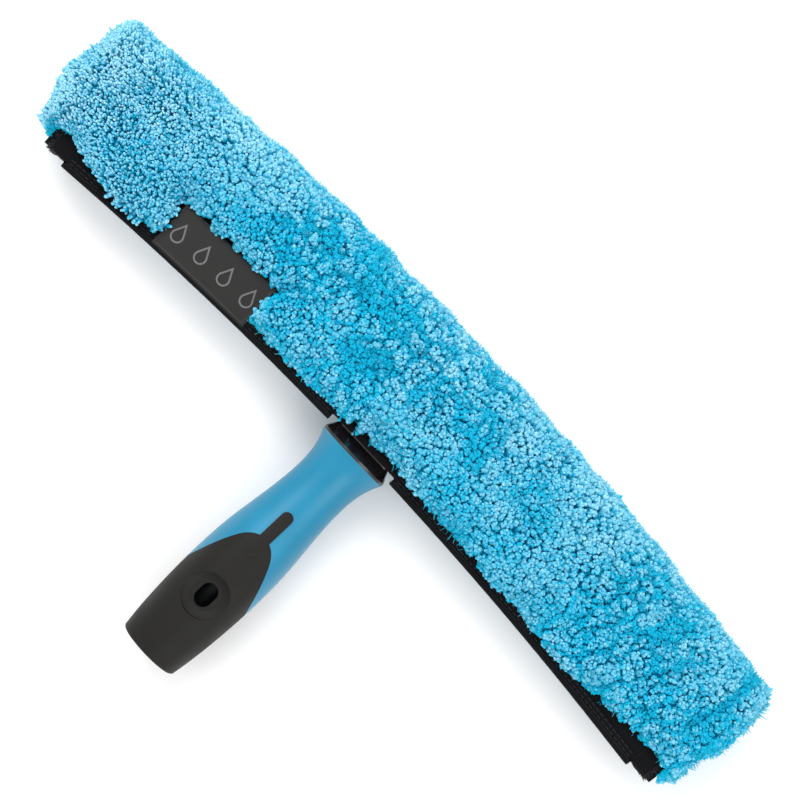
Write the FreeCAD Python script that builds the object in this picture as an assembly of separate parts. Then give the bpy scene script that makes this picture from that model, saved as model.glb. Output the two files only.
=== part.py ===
"""Window washer: a bowed T-bar in a pile sleeve, with a two-colour handle that takes a pole.

Units are millimetres. While the pieces are drawn, X runs along the bar, Y runs from the handle to
the working edge, Z is up, and the zero point is the middle of the bar's back face. The bar and the
sleeve are sections carried round one upright axis far behind the handle, which gives them their
bow. A section's points are written (d, z), where d is the depth from the bar's back face towards
the working edge. Places along the bar, written x, are measured along its back face.

The finished washer lies on its side, and its origin is the middle of its footprint.
"""

import FreeCAD, Part
import math
import os

from FreeCAD import Vector

# ---- T-bar ----
BAR_LENGTH = 440.0  # tip to tip, at half its depth
BAR_DEPTH = 60.0  # back face to nose
BAR_THICKNESS = 20.0  # at the back face
NOSE_RADIUS = 7.0
BOW = 12.0  # how far the middle of the back face stands ahead of its ends
BACK_CORNER_RADIUS = 12.0  # corners in plan
FRONT_CORNER_RADIUS = 20.0
CELLS_PER_SIDE = 7  # water cells on each side of the neck
CELL_RIB = 3.5
CELL_WEB = 2.0  # wall between an upper and a lower cell
CELL_CORNER_RADIUS = 4.0
FLOW_HOLE_RADIUS = 3.0
SPINE_DEPTH = 9.0  # solid strip behind the cells
NOSE_BEAM_DEPTH = 15.0  # solid strip ahead of the cells
TIP_BEAM = 13.0  # solid strip at each tip

# ---- neck and spigot, moulded with the T-bar ----
NECK_HALF_WIDTH = 17.5
NECK_INSET = 0.6  # how much flatter the neck is than the bar, above and below
NECK_STRAIGHT = 1.0  # from the bar's back face to where the neck starts to widen
NECK_REACH = 8.1  # from the bar's back face to the handle
FLANGE_RADIUS = 20.75
FLANGE_THICKNESS = 1.5
SPIGOT_RADIUS = 11.3
SPIGOT_HALF_FLATS = 9.6  # half the distance between its two flat sides
SPIGOT_LENGTH = 28.0
PILOT_RADIUS = 2.2
PILOT_DEPTH = 24.0

# ---- handle ----
HANDLE_LENGTH = 142.4
BUTT_DOME = 1.4
BUTT_EDGE_RADIUS = 2.0
BELLY_FROM_BUTT = 42.0
WAIST_FROM_BUTT = 78.0
WAIST_INSET = 0.7  # how much slimmer the waist is than the belly, all round
NECKING_FROM_FRONT = 24.0
FLARE_FROM_FRONT = 12.0
FLARE_WIDENING = 0.8  # how much the flare has opened by then, all round
POLE_BORE_RADIUS = 11.5
POLE_BORE_DEPTH = 62.0
POLE_TAPER_DEPTH = 14.0
POLE_TAPER_NARROWING = 3.0
BULKHEAD = 6.0
BUTT_WALL = 4.2
BELLY_WALL = 7.4
NECKING_WALL = 4.6
GRIP_THICKNESS = 1.7
GRIP_SIDE_FROM_BUTT = 49.0
GRIP_TIP_FROM_BUTT = 84.0
GRIP_EDGE_POWER = 2.3  # 2 is a parabola, more is blunter
TONGUE_HALF_WIDTH = 3.3
TONGUE_LENGTH = 17.5  # past the tip of the grip
TONGUE_ROOT = 12.0  # behind the tip of the grip
TONGUE_RISE = 0.5
WINDOW_FROM_BUTT = 43.3
WINDOW_LENGTH = 13.4
WINDOW_WIDTH = 9.3
DISH_RADIUS = 12.2
DISH_DEPTH = 5.2
DISH_FLOOR_RADIUS = 8.0
DISH_CONE_DEPTH = 1.2
DISH_LINING = 1.2

# ---- screw and washer ----
SCREW_RADIUS = 2.5
SCREW_CORE_RADIUS = 1.9
SCREW_PITCH = 1.8
SCREW_REACH = 20.0  # into the spigot
SCREW_POINT = 3.0
SCREW_HEAD_RADIUS = 4.75
SCREW_HEAD_HEIGHT = 3.2
SCREW_HEAD_CHAMFER = 1.0
DRIVE_WIDTH = 1.3
DRIVE_SPAN = 5.0
DRIVE_DEPTH = 1.8
WASHER_RADIUS = 5.6
WASHER_THICKNESS = 1.0

# ---- sleeve ----
LINING = 1.2
PILE = 14.5  # on the broad faces and round the nose
PILE_EDGE_RADIUS = 9.0
END_PILE = 11.5
END_PILE_ROUND = 8.0
TAPE = 0.9
GRAB = 0.7  # height of the hooks, and of the loops
HEM_REACH = 3.0  # ahead of the bar's back face
NECK_NOTCH = 3.5  # how far the pile stands back from the hem at the neck
OPENING_HALF_WIDTH = 22.0  # half the gap in the closure that the neck stands in
CLOSURE_INSET = 14.0  # from the sleeve's ends to the closure's ends
FLAP_SHORT = 2.4  # gap below the closed flap
PANEL_SHORT = 3.5  # the inner panel stops this far below the bar's upper edge
STRIP_MARGIN = 2.0
TAB_REACH = 12.0
LABEL_START = -146.0
LABEL_LENGTH = 62.0
LABEL_REACH = 24.0
LABEL_THICKNESS = 0.8
LABEL_MARGIN = 2.0  # bare strip round the label
PRINT_HEIGHT = 0.2
PRINT_LINE = 0.9
DROP_COUNT = 4
DROP_RADIUS = 3.6
DROP_TIP = 2.2  # from a drop's centre to its tip, over its radius

# ---- clearances ----
SLEEVE_GAP = 0.3  # sleeve to bar
FLAP_GAP = 0.3  # flap to the fixed hem
GRAB_GAP = 0.2  # loops to hooks
SPIGOT_GAP = 0.1  # spigot to socket, all round
SPIGOT_END_GAP = 0.6
SCREW_GAP = 0.25

# ---- worked out from the sizes above ----
BACK_RADIUS = ((BAR_LENGTH / 2) ** 2 + BOW**2) / (2 * BOW)
BOW_AXIS = Vector(0, -BACK_RADIUS, 0)
UP = Vector(0, 0, 1)
AHEAD = Vector(0, 1, 0)
HALF_BAR = BAR_THICKNESS / 2
NOSE_CENTRE = BAR_DEPTH - NOSE_RADIUS
# the broad faces slope so that they run into the nose with no corner
SLOPE = math.atan2(HALF_BAR, NOSE_CENTRE) - math.asin(NOSE_RADIUS / math.hypot(NOSE_CENTRE, HALF_BAR))
BAR_END = BAR_LENGTH / 2 * BACK_RADIUS / (BACK_RADIUS + BAR_DEPTH / 2)
LINING_OUT = SLEEVE_GAP + LINING
PILE_OUT = LINING_OUT + PILE
TAPE_OUT = LINING_OUT + TAPE
LABEL_OUT = TAPE_OUT + LABEL_THICKNESS
SLEEVE_END = BAR_END + SLEEVE_GAP + LINING
CLOSURE_END = SLEEVE_END - CLOSURE_INSET
# the closure's layers lie one behind the other
PANEL_FRONT = -SLEEVE_GAP
PANEL_BACK = PANEL_FRONT - TAPE
HOOKS_BACK = PANEL_BACK - GRAB
LOOPS_FRONT = HOOKS_BACK - GRAB_GAP
FLAP_FRONT = LOOPS_FRONT - GRAB
FLAP_BACK = FLAP_FRONT - TAPE
HEM_BACK = FLAP_FRONT + FLAP_GAP
HANDLE_FRONT = -NECK_REACH
HANDLE_BUTT = HANDLE_FRONT - HANDLE_LENGTH
SPIGOT_END = HANDLE_FRONT - SPIGOT_LENGTH
SOCKET_FLOOR = SPIGOT_END - SPIGOT_END_GAP
BULKHEAD_BACK = SOCKET_FLOOR - BULKHEAD
TAPER_FRONT = HANDLE_BUTT + POLE_BORE_DEPTH + POLE_TAPER_DEPTH
HOLLOW_RADIUS = POLE_BORE_RADIUS - POLE_TAPER_NARROWING
BUTT_RADIUS = POLE_BORE_RADIUS + BUTT_WALL + GRIP_THICKNESS
BELLY_RADIUS = POLE_BORE_RADIUS + BELLY_WALL + GRIP_THICKNESS
NECKING_RADIUS = SPIGOT_RADIUS + SPIGOT_GAP + NECKING_WALL
WINDOW_Y = HANDLE_BUTT + WINDOW_FROM_BUTT
FAR = 100.0  # past anything beside it, for cutting tools


# ---- places on a section ----
def skin(d, grown, side=1):
    """(d, z) at depth d on a broad face, grown outwards. side is 1 on top and -1 below."""
    return d, side * (HALF_BAR + grown / math.cos(SLOPE) - d * math.tan(SLOPE))


def nose(grown, side=1):
    """(d, z) where the nose's arc, grown outwards, meets a broad face."""
    r = NOSE_RADIUS + grown
    return NOSE_CENTRE + r * math.sin(SLOPE), side * r * math.cos(SLOPE)


HINGE_Z = skin(HEM_BACK, TAPE_OUT)[1]
FLAP_LOW = FLAP_SHORT - HINGE_Z


# ---- shape helpers ----
def line(a, b):
    return Part.LineSegment(Vector(0, *a), Vector(0, *b)).toShape()


def arc(a, middle, b):
    return Part.Arc(Vector(0, *a), Vector(0, *middle), Vector(0, *b)).toShape()


def face_of(edges):
    return Part.Face(Part.Wire(Part.__sortEdges__(edges)))


def polygon(points):
    return face_of([line(a, b) for a, b in zip(points, points[1:] + points[:1])])


def nose_edges(grown, back):
    """A broad face, the nose and the other broad face, grown outwards, from depth back and back to it."""
    tip = (NOSE_CENTRE + NOSE_RADIUS + grown, 0)
    return [
        line(skin(back, grown), nose(grown)),
        arc(nose(grown), tip, nose(grown, -1)),
        line(nose(grown, -1), skin(back, grown, -1)),
    ]


def around(x):
    """The turn about the bow axis, in degrees, that carries the middle of the bar to x."""
    return math.degrees(-x / BACK_RADIUS)


def sweep(face, x0, x1):
    """A section carried round the bow from x0 to x1."""
    start = face.copy()
    start.rotate(BOW_AXIS, UP, around(x1))
    return start.revolve(BOW_AXIS, UP, around(x0) - around(x1))


def at_x(shape, x):
    moved = shape.copy()
    moved.rotate(BOW_AXIS, UP, around(x))
    return moved


def strip(d0, d1, z0, z1, x0, x1):
    """A strip with a level top and bottom that follows the bow."""
    return sweep(polygon([(d0, z0), (d1, z0), (d1, z1), (d0, z1)]), x0, x1)


def layer(grown0, grown1, d0, d1, x0, x1, side=1):
    """A layer on a broad face."""
    corners = [skin(d0, grown0, side), skin(d1, grown0, side), skin(d1, grown1, side), skin(d0, grown1, side)]
    return sweep(polygon(corners), x0, x1)


def block(x0, x1, y0, y1, z0, z1):
    return Part.makeBox(x1 - x0, y1 - y0, z1 - z0, Vector(x0, y0, z0))


def rod(radius, y0, y1):
    return Part.makeCylinder(radius, y1 - y0, Vector(0, y0, 0), AHEAD)


def upright_edges(shape):
    return [e for e in shape.Edges if abs(e.Vertexes[0].Z - e.Vertexes[-1].Z) > e.Length * 0.999]


def span(inner, outer, side):
    """A stretch of the bar from inner to outer, on the left (-1) or the right (1), as (x0, x1)."""
    return (inner, outer) if side > 0 else (-outer, -inner)


# ---- T-bar ----
def bar_blank():
    """The bar with its corners rounded in plan. The section and the plan each run past the other."""
    past = 1.0
    plan = strip(0, BAR_DEPTH + past, -FAR, FAR, -BAR_END, BAR_END)
    corners = upright_edges(plan)
    half_way = min(e.CenterOfMass.y for e in corners) + BAR_DEPTH / 2
    plan = plan.makeFillet(BACK_CORNER_RADIUS, [e for e in corners if e.CenterOfMass.y < half_way])
    corners = [e for e in upright_edges(plan) if e.CenterOfMass.y > half_way]
    plan = plan.makeFillet(FRONT_CORNER_RADIUS, corners)
    section = face_of(nose_edges(0, -past) + [line(skin(-past, 0, -1), skin(-past, 0))])
    return sweep(section, -BAR_END - past, BAR_END + past).common(plan)


def water_cell(length):
    """An upper and a lower pocket of the bar, and the hole between them."""
    d0, d1 = SPINE_DEPTH, BAR_DEPTH - NOSE_BEAM_DEPTH
    pocket = block(-length / 2, length / 2, d0, d1, CELL_WEB / 2, FAR)
    pocket = pocket.makeFillet(CELL_CORNER_RADIUS, upright_edges(pocket))
    hole = Part.makeCylinder(FLOW_HOLE_RADIUS, BAR_THICKNESS, Vector(0, (d0 + d1) / 2, -HALF_BAR))
    return pocket.fuse([pocket.mirror(Vector(0, 0, 0), UP), hole])


def rounded_wire(half_x, half_z, power, y):
    """A closed curve across Y. Power 2 is an ellipse, and more is squarer."""
    count = 32
    points = []
    for i in range(count):
        c = math.cos(2 * math.pi * i / count)
        s = math.sin(2 * math.pi * i / count)
        x = math.copysign(abs(c) ** (2 / power), c)
        z = math.copysign(abs(s) ** (2 / power), s)
        points.append(Vector(half_x * x, y, half_z * z))
    curve = Part.BSplineCurve()
    curve.interpolate(points, PeriodicFlag=True)
    return Part.Wire(curve.toShape())


def spigot(gap, y0, y1):
    """The flat-sided plug, grown by gap all round."""
    half = SPIGOT_HALF_FLATS + gap
    return rod(SPIGOT_RADIUS + gap, y0, y1).common(block(-half, half, y0, y1, -FAR, FAR))


def neck():
    """The neck, the flange that covers the handle's front end, and the spigot that enters it."""
    squareness = 6
    half_height = HALF_BAR - NECK_INSET
    rim_y = HANDLE_FRONT + FLANGE_THICKNESS
    root = rounded_wire(NECK_HALF_WIDTH, half_height, squareness, SPINE_DEPTH / 2)
    waist = rounded_wire(NECK_HALF_WIDTH, half_height, squareness, -NECK_STRAIGHT)
    rim = rounded_wire(FLANGE_RADIUS, FLANGE_RADIUS, 2, rim_y)
    stem = Part.makeLoft([root, waist], True, True)
    cone = Part.makeLoft([waist, rim], True, True)
    flange = Part.Face(rim).extrude(Vector(0, -FLANGE_THICKNESS, 0))
    return stem.fuse([cone, flange, spigot(0, SPIGOT_END, rim_y)])


def t_bar():
    start = NECK_HALF_WIDTH + CELL_RIB
    pitch = (BAR_END - TIP_BEAM - start) / CELLS_PER_SIDE
    cell = water_cell(pitch - CELL_RIB)
    places = [start + (i + 0.5) * pitch for i in range(CELLS_PER_SIDE)]
    cells = [at_x(cell, side * x) for side in (-1, 1) for x in places]
    pilot = rod(PILOT_RADIUS, SPIGOT_END - 1, SPIGOT_END + PILOT_DEPTH)
    return bar_blank().cut(cells).fuse(neck()).cut(pilot)


# ---- handle ----
def handle_blank(inset, butt_y):
    """The handle's outer form with its sides drawn in by inset, and its butt at butt_y."""
    edge_y = butt_y + BUTT_DOME
    side_y = edge_y + BUTT_EDGE_RADIUS
    stations = [
        (side_y, BUTT_RADIUS),
        (HANDLE_BUTT + BELLY_FROM_BUTT, BELLY_RADIUS),
        (HANDLE_BUTT + WAIST_FROM_BUTT, BELLY_RADIUS - WAIST_INSET),
        (HANDLE_FRONT - NECKING_FROM_FRONT, NECKING_RADIUS),
        (HANDLE_FRONT - FLARE_FROM_FRONT, NECKING_RADIUS + FLARE_WIDENING),
        (HANDLE_FRONT, FLANGE_RADIUS),
    ]
    side = Part.BSplineCurve()
    side.interpolate([Vector(radius - inset, y, 0) for y, radius in stations])
    shoulder = BUTT_RADIUS - inset - BUTT_EDGE_RADIUS
    diagonal = BUTT_EDGE_RADIUS * math.sqrt(0.5)
    tail = Vector(0, butt_y, 0)
    edge = Vector(shoulder, edge_y, 0)
    on_dome = Vector(shoulder / 2, butt_y + BUTT_DOME / 4, 0)
    on_edge = Vector(shoulder + diagonal, side_y - diagonal, 0)
    front = Vector(0, HANDLE_FRONT, 0)
    outline = Part.Wire([
        Part.Arc(tail, on_dome, edge).toShape(),
        Part.Arc(edge, on_edge, side.StartPoint).toShape(),
        side.toShape(),
        Part.makeLine(side.EndPoint, front),
        Part.makeLine(front, tail),
    ])
    return Part.Face(outline).revolve(Vector(0, 0, 0), AHEAD, 360)


def grip_zone():
    """The upright prism under the pointed front edge of the grip, from side to side."""
    drop = GRIP_TIP_FROM_BUTT - GRIP_SIDE_FROM_BUTT
    points = []
    for i in range(-5, 6):
        share = 0.3 * i  # of the belly's radius, out to well past the butt
        back = drop * abs(share) ** GRIP_EDGE_POWER
        points.append(Vector(share * BELLY_RADIUS, HANDLE_BUTT + GRIP_TIP_FROM_BUTT - back, -FAR))
    edge = Part.BSplineCurve()
    edge.interpolate(points)
    corners = [Vector(p.x, HANDLE_BUTT - FAR, -FAR) for p in (points[-1], points[0])]
    outline = Part.Wire([
        edge.toShape(),
        Part.makeLine(points[-1], corners[0]),
        Part.makeLine(corners[0], corners[1]),
        Part.makeLine(corners[1], points[0]),
    ])
    return Part.Face(outline).extrude(Vector(0, 0, 2 * FAR))


def upright_slot(half_width, y0, y1, z0, z1):
    """An upright block with round ends, from y0 to y1."""
    body = block(-half_width, half_width, y0 + half_width, y1 - half_width, z0, z1)
    ends = [
        Part.makeCylinder(half_width, z1 - z0, Vector(0, y, z0)) for y in (y0 + half_width, y1 - half_width)
    ]
    return body.fuse(ends)


def tongue_zone():
    tip = HANDLE_BUTT + GRIP_TIP_FROM_BUTT
    return upright_slot(TONGUE_HALF_WIDTH, tip - TONGUE_ROOT, tip + TONGUE_LENGTH, 0, FAR)


def dish():
    """The round thumb dish, and the soft lining under it."""
    floor = BELLY_RADIUS - DISH_DEPTH
    foot = Vector(0, WINDOW_Y, floor)
    wall_foot = foot + UP * DISH_CONE_DEPTH
    cone = Part.makeCone(DISH_FLOOR_RADIUS, DISH_RADIUS, DISH_CONE_DEPTH, foot)
    hollow = cone.fuse(Part.makeCylinder(DISH_RADIUS, FAR, wall_foot))
    lining = Part.makeCylinder(DISH_RADIUS + DISH_LINING, FAR, foot - UP * DISH_LINING)
    return hollow, lining


def window():
    half = WINDOW_LENGTH / 2
    return upright_slot(WINDOW_WIDTH / 2, WINDOW_Y - half, WINDOW_Y + half, 0, FAR)


def pole_socket():
    """The straight bore, the taper that a pole jams in, and the hollow behind the bulkhead."""
    taper_back = HANDLE_BUTT + POLE_BORE_DEPTH
    bore = rod(POLE_BORE_RADIUS, HANDLE_BUTT - 1, taper_back)
    taper = Part.makeCone(POLE_BORE_RADIUS, HOLLOW_RADIUS, POLE_TAPER_DEPTH, Vector(0, taper_back, 0), AHEAD)
    return bore.fuse([taper, rod(HOLLOW_RADIUS, TAPER_FRONT, BULKHEAD_BACK)])


def handle():
    """The hard core and the soft grip moulded over it."""
    outside = handle_blank(0, HANDLE_BUTT)
    inside = handle_blank(GRIP_THICKNESS, HANDLE_BUTT + GRIP_THICKNESS)
    hollow, lining = dish()
    soft = grip_zone().fuse(tongue_zone()).cut(inside).fuse(lining)
    tongue = handle_blank(-TONGUE_RISE, HANDLE_BUTT).common(tongue_zone().cut(inside))
    grip = outside.common(soft).fuse(tongue).cut([hollow, window(), pole_socket()])
    screw_hole = rod(SCREW_RADIUS + SCREW_GAP, BULKHEAD_BACK - 1, SOCKET_FLOOR + 1)
    socket = spigot(SPIGOT_GAP, SOCKET_FLOOR, HANDLE_FRONT + 1)
    core = outside.cut(soft).cut([window(), pole_socket(), screw_hole, socket])
    return core, grip


# ---- screw and washer ----
def neck_screw():
    """A pan-head screw with a cross drive. Its thread is drawn as rings."""
    seat = BULKHEAD_BACK - WASHER_THICKNESS
    top = seat - SCREW_HEAD_HEIGHT
    tip = SPIGOT_END + SCREW_REACH
    turns = int((tip - SCREW_POINT - seat) / SCREW_PITCH)
    profile = [
        (0, top),
        (SCREW_HEAD_RADIUS - SCREW_HEAD_CHAMFER, top),
        (SCREW_HEAD_RADIUS, top + SCREW_HEAD_CHAMFER),
        (SCREW_HEAD_RADIUS, seat),
    ]
    for i in range(turns):
        root = seat + i * SCREW_PITCH
        profile += [(SCREW_CORE_RADIUS, root), (SCREW_RADIUS, root + SCREW_PITCH / 2)]
    profile += [(SCREW_CORE_RADIUS, seat + turns * SCREW_PITCH), (0, tip)]
    points = [Vector(r, y, 0) for r, y in profile]
    solid = Part.Face(Part.makePolygon(points + points[:1])).revolve(Vector(0, 0, 0), AHEAD, 360)
    long, short = DRIVE_SPAN / 2, DRIVE_WIDTH / 2
    drive = block(-long, long, top, top + DRIVE_DEPTH, -short, short)
    return solid.cut([drive, block(-short, short, top, top + DRIVE_DEPTH, -long, long)])


def neck_washer():
    ring = rod(WASHER_RADIUS, BULKHEAD_BACK - WASHER_THICKNESS, BULKHEAD_BACK)
    return ring.cut(rod(SCREW_RADIUS + SCREW_GAP, BULKHEAD_BACK - FAR, BULKHEAD_BACK))


# ---- sleeve: lining and pile ----
def sleeve_lining():
    """The cloth that the pile is knitted on, round both broad faces and the nose."""
    ends = [line(skin(PANEL_FRONT, LINING_OUT, s), skin(PANEL_FRONT, SLEEVE_GAP, s)) for s in (1, -1)]
    section = face_of(nose_edges(LINING_OUT, PANEL_FRONT) + nose_edges(SLEEVE_GAP, PANEL_FRONT) + ends)
    return sweep(section, LINING - SLEEVE_END, SLEEVE_END - LINING)


def end_lining(side):
    low, high = skin(PANEL_FRONT, LINING_OUT, -1), skin(PANEL_FRONT, LINING_OUT)
    section = face_of(nose_edges(LINING_OUT, PANEL_FRONT) + [line(low, high)])
    return sweep(section, *span(SLEEVE_END - LINING, SLEEVE_END, side))


def pile_edges():
    """The pile's outside, from its upper back edge round the nose to its lower one."""
    corner_d = HEM_REACH + PILE_EDGE_RADIUS
    corner_z = skin(corner_d, PILE_OUT - PILE_EDGE_RADIUS)[1]
    diagonal = PILE_EDGE_RADIUS * math.sqrt(0.5)
    edges = []
    for side in (1, -1):
        blend = (
            corner_d + PILE_EDGE_RADIUS * math.sin(SLOPE),
            side * (corner_z + PILE_EDGE_RADIUS * math.cos(SLOPE)),
        )
        back = (HEM_REACH, side * corner_z)
        edges.append(arc(back, (corner_d - diagonal, side * (corner_z + diagonal)), blend))
        edges.append(line(blend, nose(PILE_OUT, side)))
    edges.append(arc(nose(PILE_OUT), (NOSE_CENTRE + NOSE_RADIUS + PILE_OUT, 0), nose(PILE_OUT, -1)))
    return edges, (HEM_REACH, corner_z), (HEM_REACH, -corner_z)


def sleeve_pile():
    """The pile over the broad faces and the nose, open where the neck, the tabs and the label are."""
    edges, high, low = pile_edges()
    edges += nose_edges(LINING_OUT, HEM_REACH)
    edges += [line(high, skin(HEM_REACH, LINING_OUT)), line(low, skin(HEM_REACH, LINING_OUT, -1))]
    wrap = sweep(face_of(edges), -SLEEVE_END, SLEEVE_END)
    label_x0, label_x1 = LABEL_START - LABEL_MARGIN, LABEL_START + LABEL_LENGTH + LABEL_MARGIN
    neck_gap = strip(-FAR, HEM_REACH + NECK_NOTCH, -FAR, FAR, -OPENING_HALF_WIDTH, OPENING_HALF_WIDTH)
    label_gap = strip(-FAR, LABEL_REACH + LABEL_MARGIN, 0, FAR, label_x0, label_x1)
    tab_gaps = [strip(-FAR, TAB_REACH, -FAR, FAR, *span(CLOSURE_END, SLEEVE_END + 1, s)) for s in (-1, 1)]
    return wrap.cut([neck_gap, label_gap] + tab_gaps)


def end_pile(side):
    """The pile on one end, rounded over at its outer rim."""
    edges, high, low = pile_edges()
    outer = SLEEVE_END + END_PILE
    slab = sweep(face_of(edges + [line(high, low)]), *span(SLEEVE_END, outer, side))
    turn = around(side * outer)
    rim = []
    for edge in slab.Edges:
        flat = edge.copy()
        flat.rotate(BOW_AXIS, UP, -turn)
        if flat.BoundBox.XLength < 0.01:
            if abs(flat.CenterOfMass.x) < 0.01:
                rim.append(edge)
    return slab.makeFillet(END_PILE_ROUND, rim)


# ---- sleeve: closure ----
def hem_tape(side, back):
    """The tape bound over a back edge of the sleeve, cut back where the neck passes it."""
    tape = layer(LINING_OUT, TAPE_OUT, back, HEM_REACH, -CLOSURE_END, CLOSURE_END, side)
    return tape.cut(strip(-FAR, 0, -FAR, FAR, -OPENING_HALF_WIDTH, OPENING_HALF_WIDTH))


def inner_panel(side):
    """The panel that comes up from the lower edge, under the flap."""
    top = HALF_BAR - PANEL_SHORT
    corners = [
        skin(PANEL_BACK, LINING_OUT, -1),
        skin(PANEL_FRONT, LINING_OUT, -1),
        (PANEL_FRONT, top),
        (PANEL_BACK, top),
    ]
    return sweep(polygon(corners), *span(OPENING_HALF_WIDTH, CLOSURE_END, side))


def strip_span(side):
    return span(OPENING_HALF_WIDTH + STRIP_MARGIN, CLOSURE_END - STRIP_MARGIN, side)


def hook_strip(side):
    low, high = FLAP_LOW + STRIP_MARGIN, HALF_BAR - PANEL_SHORT - STRIP_MARGIN
    return strip(HOOKS_BACK, PANEL_BACK, low, high, *strip_span(side))


def loop_strip(side):
    low, high = FLAP_LOW + STRIP_MARGIN, HINGE_Z - 2 * STRIP_MARGIN
    return strip(FLAP_FRONT, LOOPS_FRONT, low, high, *strip_span(side))


def flap(side):
    return strip(FLAP_BACK, FLAP_FRONT, FLAP_LOW, HINGE_Z, *span(OPENING_HALF_WIDTH, CLOSURE_END, side))


def corner_tab(side):
    """The tape bound round the back corner at one end of the closure."""
    corners = [skin(TAB_REACH, LINING_OUT), skin(TAB_REACH, TAPE_OUT), skin(PANEL_BACK, TAPE_OUT)]
    corners += [skin(PANEL_BACK, TAPE_OUT, -1), skin(TAB_REACH, TAPE_OUT, -1), skin(TAB_REACH, LINING_OUT, -1)]
    corners += [skin(PANEL_FRONT, LINING_OUT, -1), skin(PANEL_FRONT, LINING_OUT)]
    return sweep(polygon(corners), *span(CLOSURE_END, SLEEVE_END, side))


# ---- sleeve: label ----
def label_patch():
    """The moulded label, stepped so that it lies on the hem and on the lining."""
    corners = [skin(HEM_BACK, TAPE_OUT), skin(HEM_BACK, LABEL_OUT), skin(LABEL_REACH, LABEL_OUT)]
    corners += [skin(LABEL_REACH, LINING_OUT), skin(HEM_REACH, LINING_OUT), skin(HEM_REACH, TAPE_OUT)]
    return sweep(polygon(corners), LABEL_START, LABEL_START + LABEL_LENGTH)


def drop_prism(radius):
    """An upright water drop, tip ahead. Its sides run from its tip to touch its round end."""
    tip = Vector(0, DROP_TIP * radius, 0)
    touch_angle = math.asin(1 / DROP_TIP)
    touch = Vector(radius * math.cos(touch_angle), radius * math.sin(touch_angle), 0)
    mirrored = Vector(-touch.x, touch.y, 0)
    outline = Part.Wire([
        Part.Arc(touch, Vector(0, -radius, 0), mirrored).toShape(),
        Part.makeLine(mirrored, tip),
        Part.makeLine(tip, touch),
    ])
    return Part.Face(outline).extrude(Vector(0, 0, FAR))


def label_print():
    """A row of outlined drops, raised on the label."""
    ring = drop_prism(DROP_RADIUS).cut(drop_prism(DROP_RADIUS - PRINT_LINE))
    length = DROP_RADIUS * (1 + DROP_TIP)
    ring.translate(Vector(0, (HEM_BACK + LABEL_REACH - length) / 2 + DROP_RADIUS, 0))
    pitch = LABEL_LENGTH / DROP_COUNT
    drops = [at_x(ring, LABEL_START + (i + 0.5) * pitch) for i in range(DROP_COUNT)]
    ink_x0, ink_x1 = LABEL_START, LABEL_START + LABEL_LENGTH
    ink = layer(LABEL_OUT, LABEL_OUT + PRINT_HEIGHT, HEM_BACK, LABEL_REACH, ink_x0, ink_x1)
    return Part.makeCompound([ink.common(drop) for drop in drops])


# ---- assembly ----
def washer():
    """Every piece by name, where it is drawn."""
    core, grip = handle()
    pieces = {
        "t_bar": t_bar(),
        "handle_core": core,
        "soft_grip": grip,
        "neck_screw": neck_screw(),
        "neck_washer": neck_washer(),
        "sleeve_lining": sleeve_lining(),
        "sleeve_pile": sleeve_pile(),
        "upper_hem_tape": hem_tape(1, HEM_BACK),
        "lower_hem_tape": hem_tape(-1, PANEL_BACK),
        "label_patch": label_patch(),
        "label_print": label_print(),
    }
    pairs = {
        "end_lining": end_lining,
        "end_pile": end_pile,
        "inner_panel": inner_panel,
        "hook_strip": hook_strip,
        "loop_strip": loop_strip,
        "flap": flap,
        "corner_tab": corner_tab,
    }
    for name, make in pairs.items():
        pieces["left_" + name] = make(-1)
        pieces["right_" + name] = make(1)
    return pieces


def main():
    pieces = washer()
    box = Part.makeCompound(list(pieces.values())).optimalBoundingBox(False)
    to_origin = Vector(-box.Center.x, -box.Center.y, -box.ZMin)
    os.makedirs("parts", exist_ok=True)
    for name, shape in pieces.items():
        shape.translate(to_origin)
        shape.exportStep("parts/" + name + ".step")


main()
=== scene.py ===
import math

import bpy
import numpy as np
from bpy.props import FloatProperty, FloatVectorProperty, IntProperty, PointerProperty
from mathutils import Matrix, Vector, kdtree


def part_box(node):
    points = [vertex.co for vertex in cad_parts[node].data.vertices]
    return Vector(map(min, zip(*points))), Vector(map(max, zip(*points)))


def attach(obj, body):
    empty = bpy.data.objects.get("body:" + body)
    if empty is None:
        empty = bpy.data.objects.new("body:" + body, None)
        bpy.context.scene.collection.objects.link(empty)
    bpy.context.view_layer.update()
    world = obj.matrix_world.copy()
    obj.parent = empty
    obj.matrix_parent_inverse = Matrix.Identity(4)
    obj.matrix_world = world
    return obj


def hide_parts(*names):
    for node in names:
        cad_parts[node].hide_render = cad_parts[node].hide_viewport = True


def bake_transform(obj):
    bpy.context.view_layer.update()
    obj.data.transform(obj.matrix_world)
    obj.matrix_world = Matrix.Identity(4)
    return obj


bl_info = {
    "name": "Window washer",
    "version": (1, 0, 0),
    "blender": (4, 5, 0),
    "location": "3D View > Sidebar > Washer",
    "description": "Pile sleeve, tapes, closure, label and finishes of a window washer",
    "category": "Object",
}

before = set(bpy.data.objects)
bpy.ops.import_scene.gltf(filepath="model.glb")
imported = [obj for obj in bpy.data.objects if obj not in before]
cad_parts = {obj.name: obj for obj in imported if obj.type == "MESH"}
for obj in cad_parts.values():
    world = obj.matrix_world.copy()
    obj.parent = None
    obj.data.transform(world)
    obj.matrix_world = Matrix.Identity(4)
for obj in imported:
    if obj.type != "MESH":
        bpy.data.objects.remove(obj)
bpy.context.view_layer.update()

MM = 0.001

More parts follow.
